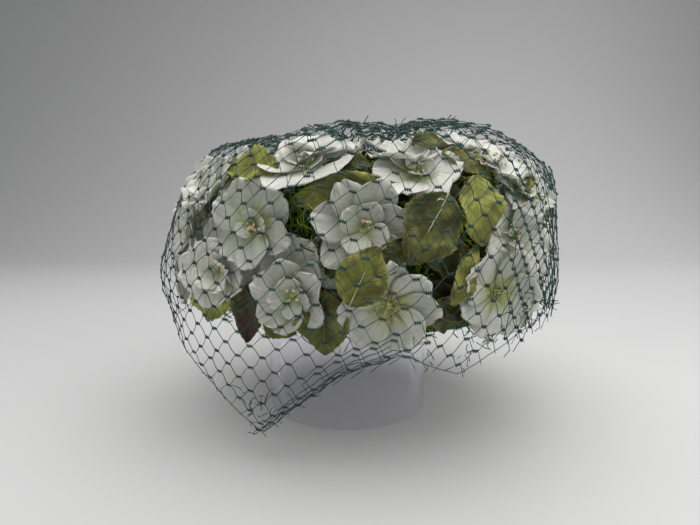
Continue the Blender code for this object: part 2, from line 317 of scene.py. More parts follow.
def make_cloth_grain():
    """A node group that puts out a height: fine grain over a soft crumple."""
    group = bpy.data.node_groups.new("cloth_grain", "ShaderNodeTree")
    for side, names in GRAIN_SOCKETS:
        for name in names:
            group.interface.new_socket(name=name, in_out=side, socket_type="NodeSocketFloat")
    given = group.nodes.new("NodeGroupInput")
    result = group.nodes.new("NodeGroupOutput")
    place = add_node(group, "ShaderNodeTexCoord").outputs["Object"]
    grain = noise_of(group, place, given.outputs["Grain Scale"], 2.0)
    crumple = noise_of(group, place, given.outputs["Crumple Scale"], 3.0, 0.6)
    height = add_node(
        group, "ShaderNodeMix", {0: given.outputs["Grain Share"], 2: crumple, 3: grain},
        data_type="FLOAT",
    )
    group.links.new(height.outputs[0], result.inputs["Height"])
    group.links.new(crumple, result.inputs["Mottle"])
    return group


CLOTH_GRAIN = make_cloth_grain()


def grain_of(tree, grain, crumple, share):
    """Places the cloth grain group with a finish's own values."""
    made = tree.nodes.new("ShaderNodeGroup")
    made.node_tree = CLOTH_GRAIN
    made.inputs["Grain Scale"].default_value = grain
    made.inputs["Crumple Scale"].default_value = crumple
    made.inputs["Grain Share"].default_value = share
    return made


def add_bump(tree, shader, height, strength, distance):
    """Feeds a height into the shader's normal."""
    bump = add_node(
        tree, "ShaderNodeBump",
        {"Height": height, "Strength": strength, "Distance": distance},
    )
    tree.links.new(bump.outputs["Normal"], shader.inputs["Normal"])


# %% [markdown]
# ### White satin
# The petals are stiffened satin and organza: off-white, cooler in some petals and
# creamier in others, pale green or brown towards the throat, with fine creases that
# run out from it. The creamier white is also much brighter and goes mostly to the
# blossoms on top, and the cooler one is darker and goes mostly to those in front: that
# brightness is painted light and painted shade. The creases are darker in their
# hollows, which is painted shade too. UV coordinates follow each petal, u across it
# and v from its base to its tip, so the creases and the throat's colour follow the petal too.

# %% White satin
# The cool white is also darker, for petals in shade, and the creamy white brighter, for petals in
# the light: painted shade and painted light on top of their own cool and creamy tints.
SHADED_COOL_WHITE = (0.50, 0.515, 0.435, 1.0)
LIT_WARM_WHITE = (0.84, 0.83, 0.745, 1.0)
EDGE_CREAM = (0.88, 0.87, 0.80, 1.0)
THROAT_GREEN = (0.44, 0.54, 0.17, 1.0)
STAIN_BROWN = (0.27, 0.14, 0.06, 1.0)


def make_satin():
    """The petals' finish, which reads tone, throat and stain from the mesh."""
    satin, tree, shader = new_finish("white_satin", 0.40, sheen=0.20, specular=0.55)
    uv = add_node(tree, "ShaderNodeUVMap", uv_map="petal").outputs["UV"]
    parts = add_node(tree, "ShaderNodeSeparateXYZ", {0: uv})
    along = parts.outputs["Y"]
    # Mixing the two whites by tone paints light on some blossoms and shade on others.
    colour = mix_colour(tree, attribute(tree, "tone"), SHADED_COOL_WHITE, LIT_WARM_WHITE)
    tip = remap(tree, along, 0.80, 1.0, 0.0, 0.6)
    colour = mix_colour(tree, tip, colour, EDGE_CREAM)
    base = remap(tree, along, 0.56, 0.10)
    throat = maths(tree, "MULTIPLY", base, attribute(tree, "throat"))
    colour = mix_colour(tree, throat, colour, THROAT_GREEN)
    spot = remap(tree, noise_of(tree, uv, 5.0, 2.0), 0.36, 0.56)
    stain = maths(tree, "MULTIPLY", remap(tree, along, 0.46, 0.16), spot)
    stain = maths(tree, "MULTIPLY", stain, attribute(tree, "stain"))
    colour = mix_colour(tree, stain, colour, STAIN_BROWN)
    grain = grain_of(tree, 1700.0, 190.0, 0.30)
    shade = remap(tree, grain.outputs["Mottle"], 0.30, 0.70, 0.90, 1.0)
    colour = mix_colour(tree, 1.0, colour, shade, "MULTIPLY")
    stretched = add_node(tree, "ShaderNodeMapping", {"Vector": uv, "Scale": (17, 1.5, 1)})
    creases = noise_of(tree, stretched.outputs[0], 1.0, 3.0, 0.4)
    # The crease hollows are darker: painted shade that follows the creases' bump.
    fold = remap(tree, creases, 0.34, 0.56, 0.84, 1.0)
    colour = mix_colour(tree, 1.0, colour, fold, "MULTIPLY")
    tree.links.new(colour, shader.inputs["Base Color"])
    height = maths(tree, "ADD", creases, grain.outputs["Height"])
    add_bump(tree, shader, height, 0.85, 0.0009)
    shader.inputs["Subsurface Weight"].default_value = 0.15
    shader.inputs["Subsurface Radius"].default_value = (1.0, 1.0, 0.8)
    shader.inputs["Subsurface Scale"].default_value = 0.002
    return satin


SATIN = make_satin()
print("finish:", SATIN.name)

# %% [markdown]
# ### Leaf cloth
# Starched cotton, dyed by hand: olive, with yellow-green and burgundy leaves among
# them. The number stored as "hue" picks the leaf's own colour, and the pressed veins
# are drawn from the UV coordinates: one midrib and slanting side veins.

# %% Leaf cloth
LEAF_COLOURS = (
    # hue, colour
    (0.0, (0.046, 0.004, 0.009, 1.0)),
    (0.3, (0.048, 0.056, 0.012, 1.0)),
    (0.6, (0.165, 0.176, 0.030, 1.0)),
    (1.0, (0.380, 0.425, 0.085, 1.0)),
)
LEAF_YELLOW = (0.44, 0.43, 0.12, 1.0)
SIDE_VEINS = 9.0


def make_leaf_cloth():
    """The leaves' finish, which reads hue from the mesh."""
    leaf, tree, shader = new_finish("leaf_cloth", 0.45, sheen=0.02, specular=0.32)
    hue = attribute(tree, "hue")
    uv = add_node(tree, "ShaderNodeUVMap", uv_map="leaf").outputs["UV"]
    parts = add_node(tree, "ShaderNodeSeparateXYZ", {0: uv})
    side = maths(tree, "ABSOLUTE", maths(tree, "SUBTRACT", parts.outputs["X"], 0.5))
    slope = maths(tree, "SUBTRACT", parts.outputs["Y"], maths(tree, "MULTIPLY", side, 0.5))
    wave = maths(tree, "FRACT", maths(tree, "MULTIPLY", slope, SIDE_VEINS))
    ridge = maths(tree, "ABSOLUTE", maths(tree, "SUBTRACT", wave, 0.5))
    side_vein = remap(tree, ridge, 0.10, 0.0)
    midrib = remap(tree, side, 0.030, 0.008)
    vein = maths(tree, "MAXIMUM", side_vein, midrib)
    grain = grain_of(tree, 1500.0, 110.0, 0.2)
    mottle = remap(tree, grain.outputs["Mottle"], 0.46, 0.66, 0.0, 0.75)
    place = add_node(tree, "ShaderNodeTexCoord").outputs["Object"]
    shade = remap(tree, noise_of(tree, place, 95.0, 5.0, 0.8), 0.38, 0.58, 0.50, 1.12)
    mottle = maths(tree, "MULTIPLY", mottle, hue)
    colour = mix_colour(tree, mottle, colour_ramp(tree, hue, LEAF_COLOURS), LEAF_YELLOW)
    colour = mix_colour(tree, 1.0, colour, shade, "MULTIPLY")
    rim = remap(tree, side, 0.40, 0.50, 0.0, 0.25)
    colour = mix_colour(tree, rim, colour, LEAF_YELLOW)
    pale = maths(tree, "MULTIPLY", vein, maths(tree, "MULTIPLY", hue, 0.5))
    colour = mix_colour(tree, pale, colour, LEAF_YELLOW)
    tree.links.new(colour, shader.inputs["Base Color"])
    relief = maths(tree, "MULTIPLY", vein, -0.5)
    height = maths(tree, "ADD", relief, grain.outputs["Height"])
    add_bump(tree, shader, height, 0.9, 0.0011)
    return leaf


def plain_finish(name, dark, light, roughness, scale, strength):
    """A finish of two close colours with a fine relief, for small pieces."""
    finish, tree, shader = new_finish(name, roughness, specular=0.3)
    grain = grain_of(tree, scale * 6, scale, 0.5)
    share = remap(tree, grain.outputs["Mottle"], 0.35, 0.65)
    tree.links.new(mix_colour(tree, share, dark, light), shader.inputs["Base Color"])
    add_bump(tree, shader, grain.outputs["Height"], strength, 0.0004)
    return finish


LEAF_CLOTH = make_leaf_cloth()
SMALL_FINISHES = (
    # name, dark and light colour, roughness, scale of the relief, its strength
    ("rib_wire", (0.33, 0.35, 0.19, 1), (0.50, 0.51, 0.32, 1), 0.5, 300.0, 0.2),
    ("stamen", (0.55, 0.40, 0.24, 1), (0.82, 0.74, 0.52, 1), 0.5, 500.0, 0.3),
    ("throat_fibre", (0.20, 0.24, 0.05, 1), (0.52, 0.58, 0.20, 1), 0.6, 400.0, 0.4),
)
RIB_WIRE, STAMEN, THROAT = (plain_finish(*row) for row in SMALL_FINISHES)
print("finishes:", LEAF_CLOTH.name, RIB_WIRE.name, STAMEN.name, THROAT.name)

# %% [markdown]
# ## Helpers for pieces
# A piece is shaped in a bmesh with its place already in its points, and is then handed
# to the frame: it rides on the one body, and the plain solids that it stands for are
# hidden.

# %% Piece helper


def hand_over(name, bm, finishes, stands_for=()):
    """Makes the finished object of a bmesh and gives it to the frame."""
    made = object_of(name, mesh_of(bm, name, *finishes))
    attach(made, "root")
    if stands_for:
        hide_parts(*stands_for)
    return made


def polar(azimuth, distance, height):
    """A point round the hat's axis; azimuth 0 is the front, positive towards +X."""
    turn = math.radians(azimuth)
    return HAT_AXIS + Vector((distance * math.sin(turn), -distance * math.cos(turn), height))


def facing(azimuth, distance, height, up, side):
    """The frame of a piece whose +Z looks out from the hat and whose +Y points up."""
    out = Matrix.Rotation(math.radians(azimuth), 4, "Z") @ Matrix.Rotation(math.pi / 2, 4, "X")
    aim = Matrix.Rotation(math.radians(side), 4, "Y") @ Matrix.Rotation(math.radians(-up), 4, "X")
    return Matrix.Translation(polar(azimuth, distance, height)) @ out @ aim


CROWN_CORNER = 0.016  # radius of the crown's round top edge
TOUCHING = 0.0004  # a stem ends when it is this close to the crown


def outside_crown(point):
    """Distance from a point to the crown's outer surface."""
    off = point - HAT_AXIS
    across = math.hypot(off.x, off.y) - (CROWN_RADIUS - CROWN_CORNER)
    above = off.z - (CROWN_TOP - CROWN_CORNER)
    corner = math.hypot(max(across, 0.0), max(above, 0.0))
    return corner + min(max(across, above), 0.0) - CROWN_CORNER


def paint(verts, finish):
    """Gives one of a piece's finishes to the faces at some points."""
    for face in {face for vert in verts for face in vert.link_faces}:
        face.material_index = finish


def add_rod(bm, start, end, radius, sides=5, finish=0, taper=1.0):
    """A thin closed rod between two points."""
    line = end - start
    turn = line.to_track_quat("Z", "Y").to_matrix().to_4x4()
    place = Matrix.Translation((start + end) / 2) @ turn
    made = bmesh.ops.create_cone(
        bm, cap_ends=True, segments=sides, radius1=radius, radius2=radius * taper,
        depth=line.length, matrix=place,
    )["verts"]
    paint(made, finish)


def add_stem(bm, place, start, radius, sides, finish=0):
    """A rod from a flower or leaf straight back to the crown."""
    inward = place.to_3x3() @ Vector((0, 0, -1))
    foot = start.copy()
    while outside_crown(foot) > TOUCHING:
        foot += inward * outside_crown(foot)
    add_rod(bm, foot, start, radius, sides, finish)


def thicken(piece, thickness):
    """Gives a sheet the thickness of its cloth, half of it to each side."""
    body = piece.modifiers.new("cloth", "SOLIDIFY")
    body.thickness = thickness
    body.offset = 0.0
    return piece


# %% [markdown]
# ## The clear ring
# A strip of clear sheet bent to a ring: the wall is spun from its section and its rims
# are rounded. The plastic has a faint lilac tint and is clearest seen straight on.

# %% Clear ring
RING_WALL = 0.0012
RING_STEPS = 128
LILAC = (0.85, 0.83, 0.93, 1.0)


def make_clear_plastic():
    """Clear sheet with a faint tint, a low gloss and slight waves."""
    plastic, tree, shader = new_finish("clear_plastic", 0.10, specular=0.5)
    shader.inputs["Base Color"].default_value = LILAC
    shader.inputs["Transmission Weight"].default_value = 0.9
    shader.inputs["IOR"].default_value = 1.15
    shader.inputs["Alpha"].default_value = 0.36
    grain = grain_of(tree, 300.0, 30.0, 0.15)
    add_bump(tree, shader, grain.outputs["Height"], 0.10, 0.0006)
    return plastic


def make_clear_ring():
    """The ring's wall, spun round its axis and rounded at its four rims."""
    outer = (ring_high.x - ring_low.x) / 2
    inner = outer - RING_WALL
    profile = ((outer, ring_high.z), (outer, 0.0), (inner, 0.0), (inner, ring_high.z))
    bm = bmesh.new()
    verts = [bm.verts.new(RING_AXIS + Vector((r, 0, z))) for r, z in profile]
    edges = [bm.edges.new((verts[i], verts[(i + 1) % 4])) for i in range(4)]
    bmesh.ops.spin(
        bm, geom=verts + edges, axis=(0, 0, 1), cent=RING_AXIS,
        angle=math.tau, steps=RING_STEPS, use_merge=True,
    )
    bmesh.ops.remove_doubles(bm, verts=bm.verts[:], dist=1e-6)
    bmesh.ops.recalc_face_normals(bm, faces=bm.faces[:])
    rims = [e for e in bm.edges if e.calc_face_angle(0) > 1.0]
    bmesh.ops.bevel(
        bm, geom=rims, offset=0.0003, offset_type="OFFSET", affect="EDGES",
        segments=2, profile=0.5, material=-1,
    )
    return hand_over(
        "clear_ring", bm, [make_clear_plastic()], ["stand_ring"]
    )


clear_ring = make_clear_ring()
print("clear ring:", len(clear_ring.data.polygons), "faces")

# %% [markdown]
# ## The crown and its moss
# The crown is a stiff drum, open below, under a loose layer of green fibre. The drum is
# a spun section with a wall. The fibres are three curly templates, scattered over the
# drum's outside with Geometry Nodes and made real, so that the result is plain mesh.

# %% Crown drum
CROWN_WALL = 0.002
CORNER_STEPS = 8
CROWN_STEPS = 96
MOSS_DARK = (0.010, 0.024, 0.005, 1.0)


def drum_section(radius, top, corner):
    """Half of a drum's outline, from its axis over the round edge to its rim."""
    points = [(0.0, top)]
    for step in range(CORNER_STEPS + 1):
        turn = math.pi / 2 * (1 - step / CORNER_STEPS)
        across = radius - corner + corner * math.cos(turn)
        points.append((across, top - corner + corner * math.sin(turn)))
    points.append((radius, CROWN_RIM))
    return points


def spin_section(section, steps):
    """Spins a closed (radius, height) section round the hat's axis."""
    bm = bmesh.new()
    verts = [bm.verts.new(HAT_AXIS + Vector((r, 0, z))) for r, z in section]
    edges = [
        bm.edges.new((verts[i], verts[(i + 1) % len(verts)]))
        for i in range(len(verts))
        if section[i][0] > 0 or section[(i + 1) % len(verts)][0] > 0
    ]
    bmesh.ops.spin(
        bm, geom=verts + edges, axis=(0, 0, 1), cent=HAT_AXIS,
        angle=math.tau, steps=steps, use_merge=True,
    )
    bmesh.ops.remove_doubles(bm, verts=bm.verts[:], dist=1e-6)
    bmesh.ops.recalc_face_normals(bm, faces=bm.faces[:])
    return bm


def make_drum():
    """The crown's outside and inside, spun as one closed section."""
    outer = drum_section(CROWN_RADIUS, CROWN_TOP, CROWN_CORNER)
    inner = drum_section(
        CROWN_RADIUS - CROWN_WALL, CROWN_TOP - CROWN_WALL, CROWN_CORNER - CROWN_WALL
    )
    bm = spin_section(outer + inner[::-1], CROWN_STEPS)
    base = plain_finish("crown_base", MOSS_DARK, (0.070, 0.140, 0.022, 1), 0.8, 500.0, 0.8)
    return hand_over("crown_drum", bm, [base], ["crown"])


crown_drum = make_drum()
print("crown drum:", len(crown_drum.data.polygons), "faces")

# %% [markdown]
# A fibre is a three-sided thread, cut across and bent into a lazy curl. Each template
# curls differently, and the scatter turns most of them upright, as the photograph shows.

# %% Moss fibres
FIBRE_LENGTH = 0.016
FIBRE_RADIUS = 0.00038
FIBRE_CUTS = 7
FIBRES_PER_M2 = 42000.0
MOSS_DEPTH = 0.004  # how far the fibres stand off the crown's side
MOSS_COLOURS = (
    # tone, colour
    (0.0, (0.018, 0.034, 0.005, 1.0)),
    (0.5, (0.170, 0.270, 0.022, 1.0)),
    (1.0, (0.560, 0.780, 0.080, 1.0)),
)
# Where the moss swells out between blossoms
MOSS_TUFTS = (
    # azimuth, height, lift
    (-18.5, 136, 8),
    (-17.5, 122, 8),
    (28, 110, 4),
    (-9, 106, 3),
)
TUFT_WIDTH = 0.011
TUFT_DENSITY = 2.0  # more fibres on a tuft, of the usual density


def make_moss_finish():
    """The fibres' finish, which reads each fibre's tone."""
    moss, tree, shader = new_finish("moss_fibre", 0.5, sheen=0.03, specular=0.25)
    colour = colour_ramp(tree, attribute(tree, "tone"), MOSS_COLOURS)
    tree.links.new(colour, shader.inputs["Base Color"])
    return moss


def fibre_template(number, finish):
    """A curly thread along X, with its belly off the surface."""
    chance = random.Random(number)
    bm = bmesh.new()
    bmesh.ops.create_cone(
        bm, cap_ends=True, segments=3, radius1=FIBRE_RADIUS, radius2=FIBRE_RADIUS,
        depth=1.0, matrix=Matrix.Rotation(math.pi / 2, 4, "Y"),
    )
    long_edges = [e for e in bm.edges if abs(e.verts[0].co.x - e.verts[1].co.x) > 0.5]
    bmesh.ops.subdivide_edges(bm, edges=long_edges, cuts=FIBRE_CUTS, use_grid_fill=True)
    loops = chance.uniform(0.8, 1.7)
    swing = chance.uniform(0.0014, 0.0024)
    for vert in bm.verts:
        share = vert.co.x
        turn = math.tau * loops * share + number
        vert.co.x = share * FIBRE_LENGTH
        vert.co.y += swing * math.sin(turn)
        vert.co.z += 0.0030 + swing * 1.3 * math.cos(turn)
    return bpy.data.objects.new(f"fibre_{number}", mesh_of(bm, f"fibre_{number}", finish))


print("moss colours:", len(MOSS_COLOURS), "and tufts:", len(MOSS_TUFTS))

# %% [markdown]
# Copies of small templates are set with Geometry Nodes, here and later for the net's
# knots. A tree takes its templates from one collection, gives each copy a random tone
# and makes the copies real. It is then applied to the mesh that carries it, and the
# templates are removed.

# %% Scatter helpers


def nodes_from(templates, name):
    """Starts a geometry node tree whose templates are the children of one collection."""
    store = bpy.data.collections.new(name)
    for template in templates:
        store.objects.link(template)
    tree = bpy.data.node_groups.new(name, "GeometryNodeTree")
    for side in ("INPUT", "OUTPUT"):
        tree.interface.new_socket(name="Geometry", in_out=side, socket_type="NodeSocketGeometry")
    given = tree.nodes.new("NodeGroupInput")
    chosen = add_node(
        tree, "GeometryNodeCollectionInfo",
        {"Collection": store, "Separate Children": True, "Reset Children": True},
    )
    return store, tree, given, chosen


def stored_number(tree, name, data_type="FLOAT"):
    """The value stored on the carrier under a name."""
    made = add_node(
        tree, "GeometryNodeInputNamedAttribute", {"Name": name}, data_type=data_type
    )
    return made.outputs[0]


def aligned(tree, axis, vector, rotation=None, pivot="AUTO"):
    """A rotation that points one axis along a vector, starting from another rotation."""
    given = {"Vector": vector} if rotation is None else {"Rotation": rotation, "Vector": vector}
    made = add_node(
        tree, "FunctionNodeAlignRotationToVector", given, axis=axis, pivot_axis=pivot
    )
    return made.outputs[0]


def close_nodes(tree, instances):
    """Stores a random tone on each copy, makes the copies real and ends the tree."""
    tone = add_node(tree, "FunctionNodeRandomValue", {"Seed": 7}, data_type="FLOAT")
    stored = add_node(
        tree, "GeometryNodeStoreNamedAttribute",
        {"Geometry": instances, "Name": "tone", "Value": tone.outputs["Value"]},
        data_type="FLOAT", domain="INSTANCE",
    )
    real = add_node(
        tree, "GeometryNodeRealizeInstances", {"Geometry": stored.outputs["Geometry"]}
    )
    result = tree.nodes.new("NodeGroupOutput")
    tree.links.new(real.outputs["Geometry"], result.inputs["Geometry"])


def run_nodes(carrier, tree, store):
    """Applies a node tree to a carrier mesh, and removes the templates."""
    modifier = carrier.modifiers.new("scatter", "NODES")
    modifier.node_group = tree
    graph = bpy.context.evaluated_depsgraph_get()
    mesh = bpy.data.meshes.new_from_object(carrier.evaluated_get(graph))
    carrier.modifiers.remove(modifier)
    old = carrier.data
    carrier.data = mesh
    bpy.data.meshes.remove(old)
    for template in list(store.objects):
        bpy.data.objects.remove(template)
    bpy.data.collections.remove(store)
    bpy.data.node_groups.remove(tree)


# %% [markdown]
# The fibres start on a skin just off the drum. It is a flat grid wrapped round the hat,
# whose rows follow the drum's section, so its points always come in the same order and
# the scatter is the same at every run. It swells where the moss does, and it carries
# the number of fibres for each square metre, none of them low on the rim.

# %% Moss layer
SKIN_ROWS = 30
BARE_RIM = 0.004  # no fibres start lower than this above the rim
FIBRE_SWAY = ((-0.25, -0.30, -0.75), (0.25, 0.10, 0.75))  # least and most turn, in radians
FIBRE_SIZES = (0.7, 1.25)


def along_section(section, share):
    """The point at a share of a section's length."""
    lengths = [math.dist(a, b) for a, b in zip(section, section[1:])]
    left = share * sum(lengths)
    for a, b, length in zip(section, section[1:], lengths):
        if left <= length:
            return [p + (q - p) * left / length for p, q in zip(a, b)]
        left -= length
    return section[-1]


def moss_skin():
    """The grid that the fibres grow on, with the density stored on its points."""
    skin = drum_section(CROWN_RADIUS + MOSS_DEPTH, CROWN_TOP, CROWN_CORNER + MOSS_DEPTH)
    bm = bmesh.new()
    density = bm.verts.layers.float.new("density")
    bmesh.ops.create_grid(bm, x_segments=CROWN_STEPS, y_segments=SKIN_ROWS, size=1.0)
    for vert in bm.verts:
        distance, height = along_section(skin, (vert.co.y + 1) / 2)
        vert.co = polar(180 * vert.co.x, distance, height)
    bm.normal_update()
    if sum(f.normal.z for f in bm.faces) < 0:
        bmesh.ops.reverse_faces(bm, faces=bm.faces[:])
    for vert in bm.verts:
        vert[density] = FIBRES_PER_M2 if vert.co.z > CROWN_RIM + BARE_RIM else 0.0
        for azimuth, height, lift in MOSS_TUFTS:
            middle = polar(azimuth, CROWN_RADIUS, height * MM)
            share = math.exp(-(((vert.co - middle).length / TUFT_WIDTH) ** 2))
            vert.co += polar(azimuth, lift * MM * share, 0.0) - HAT_AXIS
            vert[density] += FIBRES_PER_M2 * TUFT_DENSITY * share
    return bm


def make_moss():
    """Scatters the fibres over the skin, most of them upright."""
    finish = make_moss_finish()
    moss = hand_over("moss_layer", moss_skin(), [finish])
    fibres = [fibre_template(number, finish) for number in range(3)]
    store, tree, given, chosen = nodes_from(fibres, "moss_scatter")
    spread = add_node(
        tree, "GeometryNodeDistributePointsOnFaces",
        {"Mesh": given.outputs[0], "Density": stored_number(tree, "density"), "Seed": 5},
    )
    flat = aligned(tree, "Z", spread.outputs["Normal"])
    upright = aligned(tree, "X", (0, 0, 1), flat, "Z")
    sway = add_node(
        tree, "FunctionNodeRandomValue",
        {0: FIBRE_SWAY[0], 1: FIBRE_SWAY[1], "Seed": 3}, data_type="FLOAT_VECTOR",
    )
    sway = add_node(tree, "FunctionNodeEulerToRotation", {0: sway.outputs[0]})
    turned = add_node(
        tree, "FunctionNodeRotateRotation",
        {"Rotation": upright, "Rotate By": sway.outputs[0]}, rotation_space="LOCAL",
    )
    size = add_node(
        tree, "FunctionNodeRandomValue",
        {2: FIBRE_SIZES[0], 3: FIBRE_SIZES[1], "Seed": 11}, data_type="FLOAT",
    )
    placed = add_node(
        tree, "GeometryNodeInstanceOnPoints",
        {"Points": spread.outputs["Points"], "Instance": chosen.outputs[0],
         "Pick Instance": True, "Rotation": turned.outputs[0], "Scale": size.outputs[1]},
    )
    close_nodes(tree, placed.outputs["Instances"])
    run_nodes(moss, tree, store)
    return moss


moss_layer = make_moss()
print("moss:", len(moss_layer.data.polygons), "faces")

# %% [markdown]
# ## Blossoms
# The planting table is close to the model's own: where each blossom's middle is, how
# large it is and how it faces, in degrees and millimetres. The last columns are its
# looks: its kind, how creamy and how bright its white is, how green its throat is and
# how much brown has run into its petals. The brightness of the white is painted light
# on the blossoms on top and painted shade on those in front.

# %% Planting table of blossoms
BLOSSOMS = (
    # number, azimuth, height, distance, radius, petals, up, side, cup, turn,
    # kind, whiteness and painted light, throat, stain
    (1, -32.5, 130.5, 113, 22.5, 6, 4, 20, 3, 10, "open", 0.15, 1.0, 0.3),
    (2, -44.5, 104.5, 118, 19.5, 5, 4, 36, 4, 30, "folded", 1.00, 0.3, 0.0),
    (3, -21.5, 95.5, 112, 20.0, 6, -4, 8, 3, 0, "double", 0.02, 0.6, 0.0),
    (4, -3, 129, 111, 24.5, 7, 4, 2, 2, -26, "double", 0.12, 0.6, 0.2),
    (5, 3.5, 92, 111, 24.0, 8, -18, 0, 1, 0, "daisy", 0.04, 0.9, 1.0),
    (6, -19, 159.5, 102, 25, 5, 58, 4, 0, 15, "smooth", 1.00, 0.4, 0.0),
    (7, 11.5, 156, 104, 20.5, 6, 42, 0, 0, 30, "broad", 0.95, 0.9, 0.3),
    (8, 39, 162, 101, 18.0, 6, 52, -6, 1, 0, "broad", 0.95, 0.3, 0.0),
    (9, 48, 149, 110, 19.5, 7, 30, -20, 3, 20, "narrow", 0.80, 0.9, 0.0),
    (10, 34, 96, 115, 24.0, 7, -4, -12, 3, 12, "daisy", 0.25, 0.9, 0.6),
    (11, 43, 124, 111, 21.5, 5, 4, -18, 3, 36, "open", 1.0, 0.5, 0.0),
    (12, 57, 112, 107, 22.0, 6, 0, -12, 2, 0, "open", 0.75, 1.0, 0.0),
    (13, -55, 149, 109, 19.5, 5, 30, 14, 4, 20, "folded", 0.75, 0.3, 0.0),
    (14, -70, 126, 117, 22.0, 6, 4, 10, 4, 0, "open", 0.40, 0.6, 0.1),
    (15, -78, 97, 121, 22.5, 5, -4, 8, 4, 8, "double", 0.40, 0.4, 0.0),
    (16, -92, 136, 109, 20, 6, 14, 0, 4, 0, "double", 0.30, 0.5, 0.0),
    (17, -105, 100, 111, 21, 6, -6, 0, 4, 14, "open", 0.40, 0.8, 0.2),
    (18, -122, 138, 109, 21, 5, 14, 0, 4, 0, "folded", 0.45, 0.4, 0.0),
    (19, -136, 100, 110, 20.5, 7, -4, 0, 4, 6, "daisy", 0.50, 0.7, 0.6),
    (20, -153, 138, 109, 21, 6, 12, 0, 4, 22, "open", 0.25, 0.6, 0.0),
    (21, -168, 99, 111, 21, 5, -6, 0, 4, 0, "double", 0.40, 0.5, 0.1),
    (22, 176, 138, 109, 20.5, 6, 14, 0, 4, 10, "double", 0.30, 0.6, 0.0),
    (23, 160, 100, 110, 21, 6, -4, 0, 4, 0, "open", 0.55, 0.7, 0.3),
    (24, 145, 138, 109, 21, 5, 12, 0, 4, 30, "folded", 0.30, 0.4, 0.0),
    (25, 128, 99, 111, 20.5, 7, -6, 0, 4, 0, "daisy", 0.50, 0.8, 0.7),
    (26, 113, 137, 109, 21, 6, 14, 0, 4, 18, "open", 0.35, 0.6, 0.1),
    (27, 95, 101, 110, 21, 5, -4, 0, 4, 0, "double", 0.45, 0.4, 0.0),
    (28, 83, 142, 108, 19, 6, 22, 0, 4, 5, "open", 0.50, 0.7, 0.0),
    (29, -100, 166, 66, 20, 6, 78, 0, 4, 0, "double", 0.40, 0.5, 0.1),
    (30, -165, 166, 66, 21, 5, 78, 0, 4, 12, "open", 0.35, 0.7, 0.2),
    (31, 125, 166, 66, 20, 6, 78, 0, 4, 0, "daisy", 0.50, 0.8, 0.5),
    (32, 36, 168, 80, 20, 5, 74, 0, 3, 24, "double", 0.45, 0.4, 0.0),
)

# Each kind of blossom: petals in the inner ring, their size, how far the inner and
# outer petals rise in degrees, how hollow a petal is, how wavy, stamens, threads and
# how wide a petal is for its place in the ring
KINDS = {
    # inner, size, inner rise, outer rise, spoon, wave, stamens, threads, fullness
    "open": (3, 0.44, 40, 8, 0.16, 0.055, 10, 0, 1.20),
    "double": (4, 0.60, 30, 7, 0.20, 0.065, 6, 0, 1.26),
    "folded": (4, 0.74, 50, 16, 0.34, 0.090, 4, 0, 1.30),
    "daisy": (0, 0.50, 30, 3, 0.10, 0.040, 0, 46, 1.62),
    "broad": (3, 0.46, 34, 3, 0.10, 0.050, 7, 0, 1.42),
    "smooth": (3, 0.40, 26, 2, 0.07, 0.022, 7, 0, 1.60),
    "narrow": (5, 0.56, 34, 5, 0.18, 0.055, 8, 0, 1.22),
    "under": (0, 0.50, 30, 2, 0.14, 0.060, 0, 0, 1.30),
}

# Blossoms that only fill the gaps, in the same columns but for the number
GAP_BLOSSOMS = (
    (8, 166, 92, 20, 6, 76, 0, 0, 10, "under", 0.60, 0.0, 0.0),
    (-16, 168, 88, 20, 6, 80, 0, 0, 0, "under", 0.80, 0.0, 0.0),
    (36, 171, 90, 18, 6, 66, 0, 0, 0, "under", 0.80, 0.0, 0.0),
    (-48, 118, 106, 21, 6, 0, 18, 2, 40, "under", 0.35, 0.2, 0.0),
    (-33, 112, 104, 20, 5, 0, 14, 2, 10, "under", 0.30, 0.3, 0.0),
    (-8, 115, 103, 18, 5, 0, 4, 2, 0, "under", 0.30, 0.3, 0.0),
    (-22, 109, 108, 17, 5, 6, 8, 3, 20, "under", 0.25, 0.4, 0.0),
    (49, 100, 108, 21, 6, -4, -10, 3, 20, "under", 0.55, 0.3, 0.0),
    (47, 136, 106, 19, 6, 12, -10, 3, 0, "under", 0.55, 0.3, 0.0),
    (-70, 108, 108, 20, 6, 0, 6, 3, 30, "under", 0.40, 0.3, 0.0),
    (-40, 150, 102, 17, 5, 36, 8, 3, 15, "under", 0.35, 0.3, 0.0),
    (85, 168, 62, 20, 6, 84, 0, 2, 0, "broad", 0.80, 0.5, 0.1),
    (2, 167, 38, 19, 6, 86, 0, 2, 30, "broad", 0.70, 0.6, 0.1),
    (-58, 168, 60, 20, 6, 82, 0, 2, 0, "broad", 0.85, 0.5, 0.0),
    (-132, 168, 64, 20, 6, 82, 0, 2, 15, "broad", 0.60, 0.6, 0.2),
    (160, 168, 66, 20, 6, 82, 0, 2, 0, "double", 0.70, 0.5, 0.1),
    (-170, 167, 30, 18, 6, 86, 0, 2, 0, "broad", 0.80, 0.5, 0.1),
)


def back_blossoms():
    """Rows for the back and the sides, between the modelled blossoms."""
    chance = random.Random(77)
    rows = []
    for step in range(14):
        azimuth = 70 + 16.4 * step
        warmth_and_light = chance.uniform(0.4, 0.9)
        rows.append((
            azimuth + chance.uniform(-3, 3), chance.uniform(114, 123), 104, 23, 6, 2, 0, 2,
            chance.uniform(0, 60), "open" if step % 3 else "double", warmth_and_light, 0.5, 0.1,
        ))
        rows.append((
            azimuth + 8, chance.uniform(155, 160), 99, 22.5, 6, 54, 0, 2,
            chance.uniform(0, 60), "broad", warmth_and_light, 0.5, 0.0,
        ))
    return rows


print("blossoms:", len(BLOSSOMS), "and", len(GAP_BLOSSOMS) + len(back_blossoms()), "to fill")

